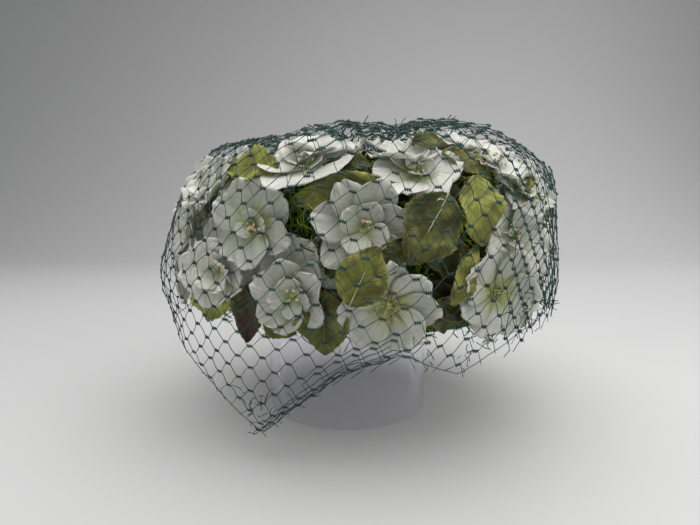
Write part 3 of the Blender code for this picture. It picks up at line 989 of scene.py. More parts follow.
# %% [markdown]
# A petal starts as a grid. One rule gives its half width from base to tip, others cup
# it, hollow it like a spoon, curl its tip and let its edge wave. The grid keeps its UV
# coordinates through all of this. Each petal is also tilted about its own length, so
# that one edge lies over the neighbour and the other under it, as a milliner sets them.

# %% Petal
PETAL_ACROSS = 10
PETAL_ALONG = 12
PETAL_BELLY = 0.58  # the widest place, of the length
PETAL_BASE = 0.20  # half width at the base, of the widest
TIP_ROUNDING = 0.12
CURL_START = 0.62  # where a petal's tip begins to curl down, of its length
WRINKLE_SIZE = 0.005
WRINKLE_DEPTH = 0.00045


def petal_half_width(along):
    """Half width of a petal, of its widest."""
    if along < PETAL_BELLY:
        grown = math.sin(math.pi / 2 * along / PETAL_BELLY)
        return PETAL_BASE + (1 - PETAL_BASE) * grown
    past = (along - PETAL_BELLY) / (1 - PETAL_BELLY)
    return math.sqrt(max(0.0, 1 - (0.86 * past) ** 2.2))


def add_petal(bm, chance, length, width, spoon, wave, place, tone, throat, stain):
    """Adds one petal, growing along +Y from the blossom's middle."""
    made = bmesh.ops.create_grid(
        bm, x_segments=PETAL_ACROSS, y_segments=PETAL_ALONG, size=1.0, calc_uvs=True
    )["verts"]
    floats = bm.verts.layers.float
    phase, waves = chance.uniform(0, math.tau), chance.uniform(1.6, 2.6)
    curl = chance.uniform(0.15, 0.75)
    lean = chance.uniform(-0.12, 0.12)
    notch = chance.choice((0.0, 0.0, 0.03, 0.07))
    shift = Vector((chance.uniform(-9, 9), chance.uniform(-9, 9), 0))
    for vert in made:
        across, along = vert.co.x, (vert.co.y + 1) / 2
        half = width / 2 * petal_half_width(along)
        rounding = TIP_ROUNDING * across**2 * along**2
        rounding += notch * math.exp(-((across / 0.22) ** 2)) * along**8
        x = across * half + lean * length * along**2
        y = length * (along - rounding)
        z = 0.20 * length * along**2 - curl * length * max(0.0, along - CURL_START) ** 2
        z += spoon * half * across**2 * along
        edge = max(abs(across), along) ** 3
        z += wave * length * math.sin(math.tau * waves * across / 2 + phase) * edge * along
        rough = noise.noise(Vector((x, y, 0)) / WRINKLE_SIZE + shift)
        z += WRINKLE_DEPTH * rough * min(1.0, along * 2)
        vert.co = place @ Vector((x, y, z))
        vert[floats["tone"]] = tone
        vert[floats["throat"]] = throat
        vert[floats["stain"]] = stain


# %% [markdown]
# The middle of a blossom is either a bunch of stamens, thin stalks with a bead on each,
# or a brush of fine threads. Both are short rods with a little chance in their lean.

# %% Blossom middles
STAMEN_LEAN = 42  # degrees, at most
STAMEN_LENGTHS = (0.0040, 0.0066)
STAMEN_RADIUS = 0.00022
BEAD_RADII = (0.00055, 0.00085)
BRUSH_LEAN = 82
BRUSH_LENGTHS = (0.0030, 0.0060)
BRUSH_RADIUS = 0.00018


def leaning(chance, spread):
    """A direction near +Z, leaning outwards by up to the spread in degrees."""
    turn = chance.uniform(0, math.tau)
    lean = math.radians(spread) * math.sqrt(chance.random())
    aside = math.sin(lean)
    return Vector((aside * math.cos(turn), aside * math.sin(turn), math.cos(lean)))


def add_stamens(bm, chance, count, place):
    """Thin stalks that end in beads."""
    for _ in range(count):
        aim = leaning(chance, STAMEN_LEAN)
        foot = Vector((aim.x * 0.0012, aim.y * 0.0012, 0.0004))
        tip = foot + aim * chance.uniform(*STAMEN_LENGTHS)
        add_rod(bm, place @ foot, place @ tip, STAMEN_RADIUS, 4, 2)
        bead = bmesh.ops.create_icosphere(
            bm, subdivisions=1, radius=chance.uniform(*BEAD_RADII),
            matrix=Matrix.Translation(place @ tip),
        )["verts"]
        paint(bead, 1)


def add_threads(bm, chance, count, place):
    """A brush of fine threads, most of them lying outwards."""
    for _ in range(count):
        aim = leaning(chance, BRUSH_LEAN)
        foot = Vector((aim.x * 0.0014, aim.y * 0.0014, 0.0004))
        tip = foot + aim * chance.uniform(*BRUSH_LENGTHS)
        finish = chance.choice((1, 2, 2))
        add_rod(bm, place @ foot, place @ tip, BRUSH_RADIUS, 3, finish, 0.4)


# %% [markdown]
# A blossom is then an outer ring of petals, an inner ring that stands up more, a small
# boss with its middle, and a stem back to the crown. A Solidify modifier gives the
# petals the thickness of stiffened satin.

# %% Blossoms
SATIN_THICKNESS = 0.00035
SEEN_BLOSSOMS = 15  # the first ones, which the photograph shows
BACK_SCALE = 1.15
PETAL_SHARE = 0.66  # a petal's width, of its part of the circle through its tips
WIDEST_PETAL = 1.10  # and at most this much of its length
TILT_SHARE = 0.8  # the petals' own hollow takes up the rest of their rise
PETAL_ROLL = (5, 12)  # degrees about its own length
TONE_SPREAD = (-0.35, 0.30)
BOSS_RADIUS = 0.0022
STEM_RADIUS = 0.0012


def new_blossom_mesh():
    """An empty bmesh with the numbers that the satin finish reads."""
    bm = bmesh.new()
    bm.loops.layers.uv.new("petal")
    for name in ("tone", "throat", "stain"):
        bm.verts.layers.float.new(name)
    return bm


def add_blossom(bm, row, seed, scale=1.0):
    """Adds one blossom and its stem."""
    (azimuth, height, distance, radius, petals, up, side, cup, turn,
     kind, warmth_and_light, throat, stain) = row
    inner, size, inner_rise, outer_rise, spoon, wave, stamens, threads, full = KINDS[kind]
    chance = random.Random(100 + seed)
    radius *= MM * scale
    place = facing(azimuth, distance * MM, height * MM, up, side)
    place = place @ Matrix.Rotation(math.radians(turn), 4, "Z")
    rings = [(petals, 1.06, outer_rise + cup, 0.0, 1.0)]
    if inner:
        rings.append((inner, size, inner_rise, 0.0009, 0.92))
    for count, reach, rise, lift, spread in rings:
        length = radius * reach
        width = math.tau * length * PETAL_SHARE / count * full
        width = min(width, length * WIDEST_PETAL) * spread
        for index in range(count):
            angle = math.tau * (index + chance.uniform(-0.12, 0.12)) / count
            tilt = math.radians(rise + chance.uniform(-8, 8))
            roll = math.radians(chance.uniform(*PETAL_ROLL))
            set_at = (
                place
                @ Matrix.Rotation(angle, 4, "Z")
                @ Matrix.Translation((0, 0.0008, lift + chance.uniform(0, 0.0004)))
                @ Matrix.Rotation(tilt * TILT_SHARE, 4, "X")
                @ Matrix.Rotation(roll, 4, "Y")
            )
            # The blossom's white, with a random spread, carries painted light on the top blossoms
            # and painted shade on the front ones.
            tone = min(1.0, max(0.0, warmth_and_light + chance.uniform(*TONE_SPREAD)))
            add_petal(
                bm, chance, length * chance.uniform(0.93, 1.04),
                width * chance.uniform(0.92, 1.06), spoon * chance.uniform(0.6, 1.3),
                wave, set_at, tone, min(1.0, throat * chance.uniform(0.7, 1.2)),
                stain * chance.uniform(0.3, 1.0),
            )
    boss = bmesh.ops.create_uvsphere(
        bm, u_segments=10, v_segments=6, radius=BOSS_RADIUS,
        matrix=place @ Matrix.Translation((0, 0, 0.0004)) @ Matrix.Diagonal((1, 1, 0.6, 1)),
    )["verts"]
    paint(boss, 2)
    add_stamens(bm, chance, stamens, place)
    add_threads(bm, chance, threads, place)
    add_stem(bm, place, place.translation, STEM_RADIUS, 8, 2)


def finish_blossoms(name, bm, nodes):
    """Hands a mesh of blossoms over, with the thickness of its satin."""
    piece = hand_over(name, bm, [SATIN, STAMEN, THROAT], nodes)
    return thicken(piece, SATIN_THICKNESS)


def make_blossom(number, row):
    """One modelled blossom; those the photograph doesn't show are a little fuller."""
    bm = new_blossom_mesh()
    add_blossom(bm, row, number, 1.0 if number <= SEEN_BLOSSOMS else BACK_SCALE)
    return finish_blossoms(f"petals_{number:02d}", bm, [f"blossom_{number:02d}"])


def make_fill(name, rows, seed):
    """Blossoms that stand for no solid of their own, joined in one piece."""
    bm = new_blossom_mesh()
    for index, row in enumerate(rows):
        add_blossom(bm, row, seed + index)
    return finish_blossoms(name, bm, [])


blossoms = [make_blossom(row[0], row[1:]) for row in BLOSSOMS]
blossoms.append(make_fill("petals_fill_front", GAP_BLOSSOMS, 33))
blossoms.append(make_fill("petals_fill_back", back_blossoms(), 60))
print("blossoms:", sum(len(piece.data.polygons) for piece in blossoms), "faces")

# %% [markdown]
# ## Leaves
# The same kind of table gives the leaves. Their looks are a hue, from burgundy at 0
# over olive to yellow-green at 1, how deep the fold along the midrib is, and whether a
# pale wire shows on it.

# %% Planting table of leaves
LEAVES = (
    # number, azimuth, height, distance, length, width, points, up, side, hue, fold, wire
    (1, -26, 160, 109, 33, 21, -86, 26, 10, 0.85, 0.18, 0),
    (2, 3, 151, 111, 49, 19, -99, 5, 0, 0.66, 0.20, 0),
    (3, 16.5, 146, 120, 38, 33, -150, 6, 0, 0.37, 0.12, 1),
    (4, 23.5, 155, 119, 35, 26, 170, 6, 0, 0.80, 0.20, 0),
    (5, -5.5, 95, 127.5, 30, 25, 24, 2, 0, 0.56, 0.16, 1),
    (6, 18.5, 92, 119, 33, 14, 28, 0, 0, 0.62, 0.26, 0),
    (7, -12.8, 99, 113, 35, 29, 182, -6, 0, 0.37, 0.24, 0),
    (8, -41, 91, 116, 38, 24, -99, -4, 15, 0.98, 0.16, 0),
    (9, -36.5, 99, 110, 36, 19, -170, -6, 20, 0.00, 0.28, 0),
    (10, -34, 79, 107, 22, 14, 105, -10, 0, 0.50, 0.24, 0),
    (11, 19, 167, 104, 31, 15, 112, 34, 0, 0.52, 0.22, 0),
    (12, 17, 103, 107, 31, 20, 165, -4, 0, 0.28, 0.24, 0),
    (13, -62, 121, 113, 26, 15, -172, 0, 0, 0.75, 0.24, 0),
    (14, 72, 133, 101, 24, 15, 180, 4, 0, 0.66, 0.24, 0),
    (15, 85, 121, 103, 34, 21, 176, 0, 0, 0.60, 0.22, 1),
    (16, -86, 118, 101, 24, 15, -160, 0, 0, 0.80, 0.24, 0),
    (17, -121, 120, 102, 34, 22, 176, 0, 0, 0.55, 0.20, 1),
    (18, -150, 116, 102, 32, 22, -170, 0, 0, 0.85, 0.22, 0),
    (19, 176, 117, 102, 34, 22, 178, 0, 0, 0.50, 0.20, 1),
    (20, 143, 117, 102, 32, 22, 176, 0, 0, 0.78, 0.22, 0),
    (21, 111, 117, 102, 32, 20, -178, 0, 0, 0.62, 0.24, 0),
    (22, -52, 168, 44, 36, 20, -165, 93, 0, 0.75, 0.20, 0),
    (23, 2, 168, 42, 36, 22, 176, 93, 0, 0.60, 0.20, 1),
    (24, 84, 168, 44, 36, 20, 170, 93, 0, 0.85, 0.20, 0),
    (25, 160, 168, 40, 34, 21, 178, 93, 0, 0.55, 0.20, 0),
)

# Small leaves that only fill the gaps, in the same columns. Their numbers go on from
# the table above, and serve only for their chance.
GAP_LEAVES = (
    (26, 11, 172, 100, 17, 10, 80, 30, 0, 0.45, 0.20, 0),
    (27, -1, 160, 106, 24, 12, -82, 40, 0, 0.12, 0.24, 0),
    (28, -39, 156, 107, 19, 10, -95, 30, 0, 0.35, 0.24, 0),
    (29, 49, 157, 115, 21, 11, 178, 10, 0, 0.80, 0.22, 0),
    (30, 2, 127, 110, 22, 14, 168, 0, 0, 0.55, 0.22, 0),
    (31, 12, 119, 106, 34, 21, 100, 0, 0, 0.33, 0.18, 0),
    (32, 20, 124, 107, 26, 16, 172, 0, 0, 0.30, 0.24, 0),
    (33, -15, 116, 106, 20, 13, 170, 0, 0, 0.34, 0.24, 0),
    (34, 36, 134, 106, 26, 15, 178, 4, 0, 0.50, 0.24, 0),
    (35, 20, 153, 108, 22, 14, 180, 0, 0, 0.30, 0.24, 0),
    (36, 16, 92, 109, 26, 15, 110, -4, 0, 0.28, 0.24, 0),
    (37, 6.5, 125, 119, 22, 15, -145, 0, 0, 0.42, 0.24, 0),
)


# Leaves round the back in three rings: height, distance, where they point, rise
LEAF_RINGS = ((131, 114, 165, 6), (159, 106, 84, 36), (86, 106, 96, -8))
# Leaves that lie on top, near the gather: azimuth, distance
TOP_LEAVES = ((20, 70), (65, 34), (118, 44), (-92, 30), (-28, 66), (-160, 52))


def back_leaves():
    """Rows for the back and the sides, between the modelled leaves."""
    chance = random.Random(78)
    rows = []
    for step in range(13):
        azimuth = 74 + 16.5 * step
        turn = 1 if step % 2 else -1
        for height, distance, points, up in LEAF_RINGS:
            rows.append((
                0, azimuth + chance.uniform(-4, 4), height, distance,
                chance.uniform(27, 34), chance.uniform(17, 22), turn * points, up, 0,
                chance.uniform(0.45, 0.95), 0.22, 0,
            ))
    for azimuth, distance in TOP_LEAVES:
        rows.append((
            0, azimuth, 171, distance, 31, 19, chance.uniform(0, 360), 84, 0,
            chance.uniform(0.45, 0.95), 0.20, 0,
        ))
    return rows


print("leaves:", len(LEAVES), "and", len(GAP_LEAVES) + len(back_leaves()), "to fill")

# %% [markdown]
# A leaf is a grid too. Its half width is a bent sine, its edge is a row of small saw
# teeth, and the two halves rise from the midrib. The wire is a thin rod, cut across so
# that it can follow the leaf's own bend.

# %% Leaves
LEAF_ACROSS = 8
LEAF_ALONG = 44
TOOTH_ROWS = 4  # rows of the grid to each tooth
TOOTH_DEPTH = 0.07
LEAF_BELLY = 0.85
LEAF_FULLNESS = 0.8
LEAF_TIP = 0.0004
PETIOLE = 0.0014
LEAF_DROOP = 1.6
LEAF_THICKNESS = 0.0004
STALK_RADIUS = 0.0007
WIRE_RADIUS = 0.00028
WIRE_REACH = 0.55  # how far along the leaf its wire shows
BURGUNDY = 0.15  # leaves of a lower hue are burgundy at the tip
BURNT_BASE = 0.28  # and this much greener at the base


def leaf_half_width(along, width):
    """Half the width of a leaf at a share of its length."""
    belly = math.sin(math.pi * min(along, 0.9999) ** LEAF_BELLY) ** LEAF_FULLNESS
    return max(PETIOLE / 2 if along < 0.5 else LEAF_TIP, width / 2 * belly)


def leaf_height(across, along, half, length, fold, bend, phase):
    """How far a leaf's surface stands off its own flat."""
    rise = fold * abs(across) * half
    wave = 0.24 * half * math.sin(math.tau * 1.6 * along + phase) * across**2
    wave += 0.0011 * noise.noise(Vector((4 * along, 1.4 * across, phase))) * min(1.0, 5 * along)
    quilt = 0.00034 * math.cos(math.tau * (9 * along - 2.25 * abs(across)))
    return rise + wave + quilt - bend * (along * length) ** 2


def add_leaf(bm, place, length, width, fold, bend, hue, wire, chance):
    """Adds a leaf that grows along +Y, with its upper side towards +Z."""
    phase = chance.uniform(0, math.tau)
    layer = bm.verts.layers.float["hue"]
    made = bmesh.ops.create_grid(
        bm, x_segments=LEAF_ACROSS, y_segments=LEAF_ALONG, size=1.0, calc_uvs=True
    )["verts"]
    for vert in made:
        across, along = vert.co.x, (vert.co.y + 1) / 2
        row = round(along * LEAF_ALONG)
        tooth = 1 - TOOTH_DEPTH * (row % TOOTH_ROWS) / (TOOTH_ROWS - 1) * abs(across) ** 4
        half = leaf_half_width(along, width) * (tooth if 0.06 < along < 0.97 else 1.0)
        z = leaf_height(across, along, half, length, fold, bend, phase)
        vert.co = place @ Vector((across * half, along * length, z))
        burnt = BURNT_BASE * (1 - along) if hue < BURGUNDY else 0.12 * (along - 0.5)
        vert[layer] = min(1.0, max(0.0, hue + burnt))
    if wire:
        rod = bmesh.new()
        add_rod(rod, Vector((0, 0, 0)), Vector((0, 0, 1)), WIRE_RADIUS, 5, 1, 0.5)
        upright = [e for e in rod.edges if abs(e.verts[0].co.z - e.verts[1].co.z) > 0.5]
        bmesh.ops.subdivide_edges(rod, edges=upright, cuts=9)
        for vert in rod.verts:
            along = WIRE_REACH * vert.co.z
            z = leaf_height(0, along, 0.0, length, fold, bend, phase) + WIRE_RADIUS
            vert.co = place @ Vector((vert.co.x, along * length, z + vert.co.y))
        mesh = mesh_of(rod, "wire")
        bm.from_mesh(mesh)
        bpy.data.meshes.remove(mesh)


def add_whole_leaf(bm, row, seed):
    """Adds one leaf and its stalk."""
    _, azimuth, height, distance, length, width, points, up, side, hue, fold, wire = row
    chance = random.Random(500 + seed)
    length, width, distance = length * MM, width * MM, distance * MM
    place = facing(azimuth, distance, height * MM, up, side)
    place = place @ Matrix.Rotation(math.radians(-points), 4, "Z")
    bend = LEAF_DROOP + abs(math.sin(math.radians(points))) / (2 * distance)
    add_leaf(bm, place, length, width, fold, bend, hue, wire, chance)
    add_stem(bm, place, place @ Vector((0, 0.001, 0)), STALK_RADIUS, 6)


def make_leaves(name, rows, nodes):
    """One piece with one or more leaves, with the thickness of their cloth."""
    bm = bmesh.new()
    bm.loops.layers.uv.new("leaf")
    bm.verts.layers.float.new("hue")
    for index, row in enumerate(rows):
        add_whole_leaf(bm, row, row[0] + index)
    piece = hand_over(name, bm, [LEAF_CLOTH, RIB_WIRE], nodes)
    return thicken(piece, LEAF_THICKNESS)


leaves = [
    make_leaves(f"leaf_blade_{row[0]:02d}", [row], [f"leaf_{row[0]:02d}"]) for row in LEAVES
]
leaves.append(make_leaves("leaf_fill_front", GAP_LEAVES, []))
leaves.append(make_leaves("leaf_fill_back", back_leaves(), []))
print("leaves:", sum(len(piece.data.polygons) for piece in leaves), "faces")

# %% [markdown]
# ## The net veil
# Veiling of this kind is a hexagonal net: threads run down in zigzags, and where two
# of them meet they are knotted together for about three millimetres. So the net is
# made as it is knotted: thread by thread, with a small knot wherever two neighbours
# meet. The veil is gathered on the crown's middle and hangs over the blossoms to a
# lower edge of its own. The table gives that edge and the widest place all round.

# %% The veil's form
VEIL_EDGE = (
    # azimuth, widest, edge distance, edge height, shoulder height, squareness in percent,
    # all but the first and last in millimetres
    (-180, 131, 128, 70, 182, 50),
    (-140, 132, 128, 66, 182, 30),
    (-100, 136, 130, 68, 181, 0),
    (-77, 137, 130, 68, 180, 0),
    (-54, 136, 128, 56, 179, 0),
    (-32, 134, 112, 19, 179, 25),
    (-9, 132, 118, 58, 182, 60),
    (6, 131, 127, 72, 180, 60),
    (19, 130, 126, 59, 185, 80),
    (36, 126, 125, 75, 185, 90),
    (60, 124, 122, 80, 181, 75),
    (90, 124, 122, 74, 179, 75),
    (140, 130, 127, 72, 183, 80),
    (180, 131, 128, 70, 182, 50),
)
# From the gather out to the shoulder: distance from the hat's axis, below the shoulder
VEIL_TOP = ((0.012, 0.020), (0.0192, 0.008), (0.040, 0.002), (0.072, 0.0))
# From the shoulder down: how far inside the widest place, below the shoulder
ROUND_SIDE = ((0.0385, 0.002), (0.0275, 0.010), (0.012, 0.035), (0.0046, 0.058), (0.0, 0.082))
SQUARE_SIDE = ((0.035, 0.0015), (0.0146, 0.008), (0.004, 0.0205), (0.0012, 0.0455), (0.0, 0.0795))
CURVE_STEPS = 6
PLEATS = 29
PLEAT_HEIGHT = 0.0022
PLEAT_REACH = 0.098  # how far down from the gather the pleats run out
CREASE_SIZE = 0.038
CREASE_DEPTH = 0.0022
CRUMPLE_SIZE = 0.011
CRUMPLE_DEPTH = 0.0008  # away from the gather, where it is deeper by GATHER_CRUMPLE
GATHER_CRUMPLE = 0.0022


def veil_row(azimuth):
    """The table's values at an azimuth in degrees, blended and in metres."""
    azimuth = (azimuth + 180) % 360 - 180
    for low, high in zip(VEIL_EDGE, VEIL_EDGE[1:]):
        if low[0] <= azimuth <= high[0]:
            share = (azimuth - low[0]) / (high[0] - low[0])
            return [(a + (b - a) * share) * MM for a, b in zip(low[1:], high[1:])]
    raise ValueError(azimuth)


def smooth_line(knots):
    """A curve with CURVE_STEPS steps from each of its points to the next."""
    line = [knots[0]]
    ends = [2 * knots[0] - knots[1], *knots, 2 * knots[-1] - knots[-2]]
    for a, b, c, d in zip(ends, ends[1:], ends[2:], ends[3:]):
        for step in range(1, CURVE_STEPS + 1):
            t = step / CURVE_STEPS
            line.append(0.5 * (
                2 * b + (c - a) * t + (2 * a - 5 * b + 4 * c - d) * t**2
                + (3 * b - a - 3 * c + d) * t**3
            ))
    return line


@functools.lru_cache(maxsize=None)
def veil_column(tenths):
    """A smooth line down the veil at an azimuth in tenths of a degree."""
    widest, edge_distance, edge_height, shoulder, square = veil_row(tenths / 10)
    square *= 10  # the table's percent came back as thousandths
    knots = [Vector((distance, shoulder - below)) for distance, below in VEIL_TOP]
    for rounded, squared in zip(ROUND_SIDE, SQUARE_SIDE):
        inside, below = (a + (b - a) * square for a, b in zip(rounded, squared))
        knots.append(Vector((widest - inside, shoulder - below)))
    knots.append(Vector((edge_distance, edge_height)))
    line = smooth_line(knots)
    lengths = [0.0]
    for a, b in zip(line, line[1:]):
        lengths.append(lengths[-1] + (b - a).length)
    return line, lengths


def veil_length(azimuth):
    """How long the net is from the gather to its lower edge, at an azimuth."""
    return veil_column(round(azimuth * 10) % 3600)[1][-1]


def on_veil(azimuth, travelled, outset=0.0):
    """The point on the veil after so many metres down from the gather."""
    line, lengths = veil_column(round(azimuth * 10) % 3600)
    at = 0
    while at < len(lengths) - 2 and lengths[at + 1] < travelled:
        at += 1
    share = (travelled - lengths[at]) / (lengths[at + 1] - lengths[at])
    spot = line[at].lerp(line[at + 1], share)
    ahead = (line[at + 1] - line[at]).normalized()
    spot = spot + outset * Vector((-ahead.y, ahead.x))
    on_top = max(0.0, 1 - travelled / PLEAT_REACH)
    pleat = PLEAT_HEIGHT * min(1.0, 3 * on_top) * math.sin(math.radians(azimuth) * PLEATS)
    point = polar(azimuth, spot.x, spot.y + pleat)
    crease = noise.noise_vector(point / CREASE_SIZE) * CREASE_DEPTH
    depth = CRUMPLE_DEPTH + GATHER_CRUMPLE * min(1.0, 2 * on_top)
    return point + crease + noise.noise_vector(point / CRUMPLE_SIZE) * depth


print("veil length at the front point:", round(veil_length(-32), 3), "m")

# %% [markdown]
# Threads are laid out by number. At every row a thread leans to its left or right
# neighbour by turns, and where two lean together they are knotted. Rows are cut where
# they pass the lower edge, so the net ends as if cut with scissors.

# %% Threads and knots
THREADS = 106
NET_ROWS = range(-2, 60)  # more than the longest place has
FIRST_ROW = 0.030  # where row 0 lies below the gather, on the right
ROW_STEP = 0.0067
ZIGZAG = 0.31  # how far a thread leans to its neighbour, of their spacing
SLANT = 0.30  # how far the threads drift sideways on their way down
DROP_SWING = 0.015  # the rows hang this much lower on the right
THREAD_RADIUS = 0.000195
HEM_RADIUS = 0.00022
MEAN_RADIUS = 0.13
WANDER = 0.0004  # how far a thread strays between two rows
FRAY = 0.003  # how far cut ends stick out
OUTWARDS_FROM = Vector((HAT_AXIS.x, HAT_AXIS.y, 0.10))  # knots lie facing away from it

# Layers of net, the veil itself first and then the places where it lies double: first
# and last azimuth, its start below the gather (above the lower edge where it is
# negative), how far it ends past the lower edge (short of it where it is negative),
# how far outside the veil's form it lies, and how far its pattern is shifted in rows
NET_LAYERS = (
    # from, to, start, past edge, outset, shift
    (-180, 180, 0.004, 0.0, 0.0, 0.0),
    (30, 112, 0.118, 0.004, 0.0022, 0.6),
    (-34, 10, -0.013, 0.001, 0.0014, 0.45),
    (-20, 36, 0.034, -0.105, 0.0016, 0.35),
)

# Threads along the lower edge
HEM_STEP = 1.6  # degrees from point to point
HEM_WAVER = 0.0011
HEM_THREADS = (
    # from, to, above the edge
    (-180, 180, 0.0),
    (-33, 9, 0.0012),
    (-33, 7, 0.0024),
    (-32, 5, 0.0042),
    (-31, 3, 0.0065),
)

# Loose ends, by the part of the veil that they start from; most of them stick out of
# the gather, of its top and of the cut edge
STRAYS = (
    # from, to, least and most share of the veil's length, how many, step
    (-24, 50, 0.20, 0.42, 80, 0.0021),
    (-180, 180, 0.10, 0.45, 50, 0.0016),
    (-180, 180, 0.0, 0.07, 260, 0.0020),
    (35, 110, 0.60, 1.0, 90, 0.0018),
    (8, 60, 0.93, 1.0, 50, 0.0022),
    (-36, -28, 0.92, 1.0, 22, 0.0024),
)


def net_spot(number, row, outset, shift):
    """Azimuth and travelled length of a thread at a row."""
    spacing = 360 / THREADS
    travelled = (row + shift) * ROW_STEP
    drift = -math.degrees(SLANT * travelled / MEAN_RADIUS)
    lean = ZIGZAG * (1 if (number + row) % 2 == 0 else -1)
    azimuth = (number + lean) * spacing + drift
    travelled += DROP_SWING * (math.sin(math.radians(azimuth)) - 1) + FIRST_ROW
    return azimuth, travelled


def any_way(chance, reach=1.0):
    """A vector with a chance part in each direction, up to the reach."""
    return Vector([chance.uniform(-reach, reach) for _ in "xyz"])


def trace_threads():
    """All threads as lists of points, and all knots as (middle, along, outwards)."""
    chance = random.Random(31)
    lines, knots = [], []
    for first, last, start, past, outset, shift in NET_LAYERS:
        for number in range(THREADS):
            line = []
            for row in NET_ROWS:
                azimuth, travelled = net_spot(number, row, outset, shift)
                turned = (azimuth + 180) % 360 - 180
                end = veil_length(azimuth) + past
                begin = start if start > 0 else end + start
                if travelled < begin or not first <= turned <= last:
                    continue
                if travelled > end:
                    if line:
                        line.append(on_veil(azimuth, end + chance.uniform(0, FRAY), outset))
                    break
                spot = on_veil(azimuth, travelled, outset)
                if line:
                    line.append((line[-1] + spot) / 2 + any_way(chance, WANDER))
                line.append(spot)
                if (number + row) % 2 == 0:
                    other, other_travelled = net_spot(number + 1, row, outset, shift)
                    if other_travelled <= veil_length(other) + past:
                        mate = on_veil(other, other_travelled, outset)
                        middle = (spot + mate) / 2
                        knots.append((middle, mate - spot, middle - OUTWARDS_FROM))
            if len(line) > 1:
                lines.append(line)
    return lines, knots


def trace_hem():
    """The threads along the lower edge: one all round, and more along the folded flap."""
    chance = random.Random(8)
    lines = []
    for first, last, inset in HEM_THREADS:
        line = []
        steps = int((last - first) / HEM_STEP)
        for step in range(steps + 1):
            azimuth = first + (last - first) * step / steps
            up = inset + (chance.uniform(-HEM_WAVER, HEM_WAVER) if inset else 0.0)
            line.append(on_veil(azimuth, veil_length(azimuth) - up, 0.0016 * (inset > 0)))
        lines.append(line)
    return lines


def trace_strays():
    """Short loose ends that stick out of the net on its top and along its cut edge."""
    chance = random.Random(23)
    lines = []
    for first, last, low, high, count, step in STRAYS:
        for _ in range(count):
            azimuth = chance.uniform(first, last)
            length = veil_length(azimuth)
            spot = on_veil(azimuth, length * chance.uniform(low, high))
            aim = any_way(chance).normalized()
            line = [spot]
            for _ in range(chance.randint(2, 5)):
                aim = (aim + 0.8 * any_way(chance)).normalized()
                spot = spot + aim * chance.uniform(0.5, 1.0) * step
                line.append(spot)
            lines.append(line)
    return lines


threads, knots = trace_threads()
hems = trace_hem() + trace_strays()
print("threads:", len(threads), "knots:", len(knots))

# %% [markdown]
# The threads become one curve object with a round bevel, which is then made a mesh. A
# knot is a thick little bar with three turns of thread across it. Its copies are set
# by Geometry Nodes on one point for each knot, turned to lie along it, and made real.

# %% Net pieces
NET_DARK = (0.010, 0.030, 0.026, 1.0)
NET_LIGHT = (0.018, 0.075, 0.062, 1.0)
KNOT_BAR = (0.00045, 0.0031)  # radius and length
KNOT_TURN = (0.00032, 0.0019)  # radius and length
TURN_SPACING = 0.00105
TURN_SLANT = 0.15  # radians from one turn to the next
TURN_LIFT = 0.0001


def make_net_finish():
    """Dark green thread, a little lighter here and there."""
    net, tree, shader = new_finish("veil_net", 0.55, sheen=0.1, specular=0.3)
    grain = grain_of(tree, 2400.0, 90.0, 0.5)
    share = remap(tree, grain.outputs["Mottle"], 0.35, 0.65)
    colour = mix_colour(tree, share, NET_DARK, NET_LIGHT)
    tree.links.new(colour, shader.inputs["Base Color"])
    add_bump(tree, shader, grain.outputs["Height"], 0.4, 0.0002)
    return net


def thread_mesh(lines, radius):
    """A mesh of round threads through lists of points."""
    data = bpy.data.curves.new("threads", "CURVE")
    data.dimensions = "3D"
    data.bevel_depth = radius
    data.bevel_resolution = 0
    data.use_fill_caps = True
    for line in lines:
        spline = data.splines.new("POLY")
        spline.points.add(len(line) - 1)
        for point, place in zip(spline.points, line):
            point.co = (*place, 1.0)
    carrier = object_of("threads", data)
    graph = bpy.context.evaluated_depsgraph_get()
    mesh = bpy.data.meshes.new_from_object(carrier.evaluated_get(graph))
    bpy.data.objects.remove(carrier)
    bpy.data.curves.remove(data)
    return mesh


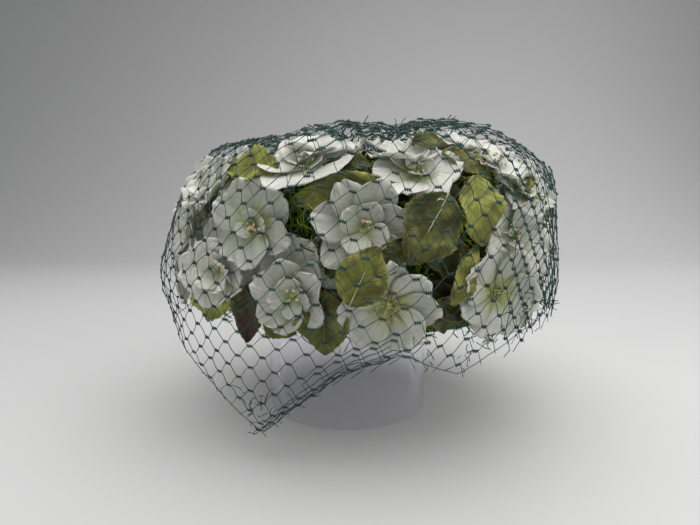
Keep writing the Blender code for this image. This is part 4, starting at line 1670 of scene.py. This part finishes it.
def knot_template():
    """A bar with three turns of thread across it, along X."""
    bm = bmesh.new()
    bmesh.ops.create_cone(
        bm, cap_ends=True, segments=4, radius1=KNOT_BAR[0], radius2=KNOT_BAR[0],
        depth=KNOT_BAR[1], matrix=Matrix.Rotation(math.pi / 2, 4, "Y"),
    )
    for step in (-1, 0, 1):
        bmesh.ops.create_cone(
            bm, cap_ends=True, segments=3, radius1=KNOT_TURN[0], radius2=KNOT_TURN[0],
            depth=KNOT_TURN[1],
            matrix=Matrix.Translation((step * TURN_SPACING, 0, TURN_LIFT))
            @ Matrix.Rotation(math.pi / 2 + TURN_SLANT * step, 4, "X"),
        )
    return bpy.data.objects.new("knot", mesh_of(bm, "knot"))


def knot_mesh(knots):
    """All knots as one real mesh."""
    bm = bmesh.new()
    along_layer = bm.verts.layers.float_vector.new("along")
    out_layer = bm.verts.layers.float_vector.new("out")
    for middle, along, out in knots:
        vert = bm.verts.new(middle)
        vert[along_layer] = along
        vert[out_layer] = out
    carrier = object_of("knot_places", mesh_of(bm, "knot_places"))
    store, tree, given, chosen = nodes_from([knot_template()], "knot_scatter")
    lying = aligned(tree, "X", stored_number(tree, "along", "FLOAT_VECTOR"))
    facing_out = aligned(tree, "Z", stored_number(tree, "out", "FLOAT_VECTOR"), lying, "X")
    placed = add_node(
        tree, "GeometryNodeInstanceOnPoints",
        {"Points": given.outputs[0], "Instance": chosen.outputs[0],
         "Rotation": facing_out},
    )
    close_nodes(tree, placed.outputs["Instances"])
    run_nodes(carrier, tree, store)
    made = carrier.data
    bpy.data.objects.remove(carrier)
    return made


def make_net():
    """Threads, edge threads and knots in one piece that stands for the veil."""
    bm = bmesh.new()
    for mesh in (
        thread_mesh(threads, THREAD_RADIUS), thread_mesh(hems, HEM_RADIUS), knot_mesh(knots),
    ):
        bm.from_mesh(mesh)
        bpy.data.meshes.remove(mesh)
    bmesh.ops.remove_doubles(bm, verts=bm.verts[:], dist=1e-6)
    for face in bm.faces:
        face.material_index = 0
    return hand_over("net_veil", bm, [make_net_finish()], ["veil"])


net_veil = make_net()
net_triangles = sum(len(face.vertices) - 2 for face in net_veil.data.polygons)
net_area = sum(face.area for face in net_veil.data.polygons) / 2
print("net:", net_triangles, "triangles, half its surface", round(net_area, 4), "m2")

# %% [markdown]
# The veil is a sheet of netting. The mean way from the gather to its lower edge is
# measured on the veil's own form, and where the net lies double isn't counted in it. The
# net is mostly holes, and its threads and knots cover less of the cut than the least
# share that can be stated as its area.

ALL_ROUND = range(-180, 180, 5)  # azimuths that the cut is measured at
net_depth = sum(veil_length(azimuth) for azimuth in ALL_ROUND) / len(ALL_ROUND)
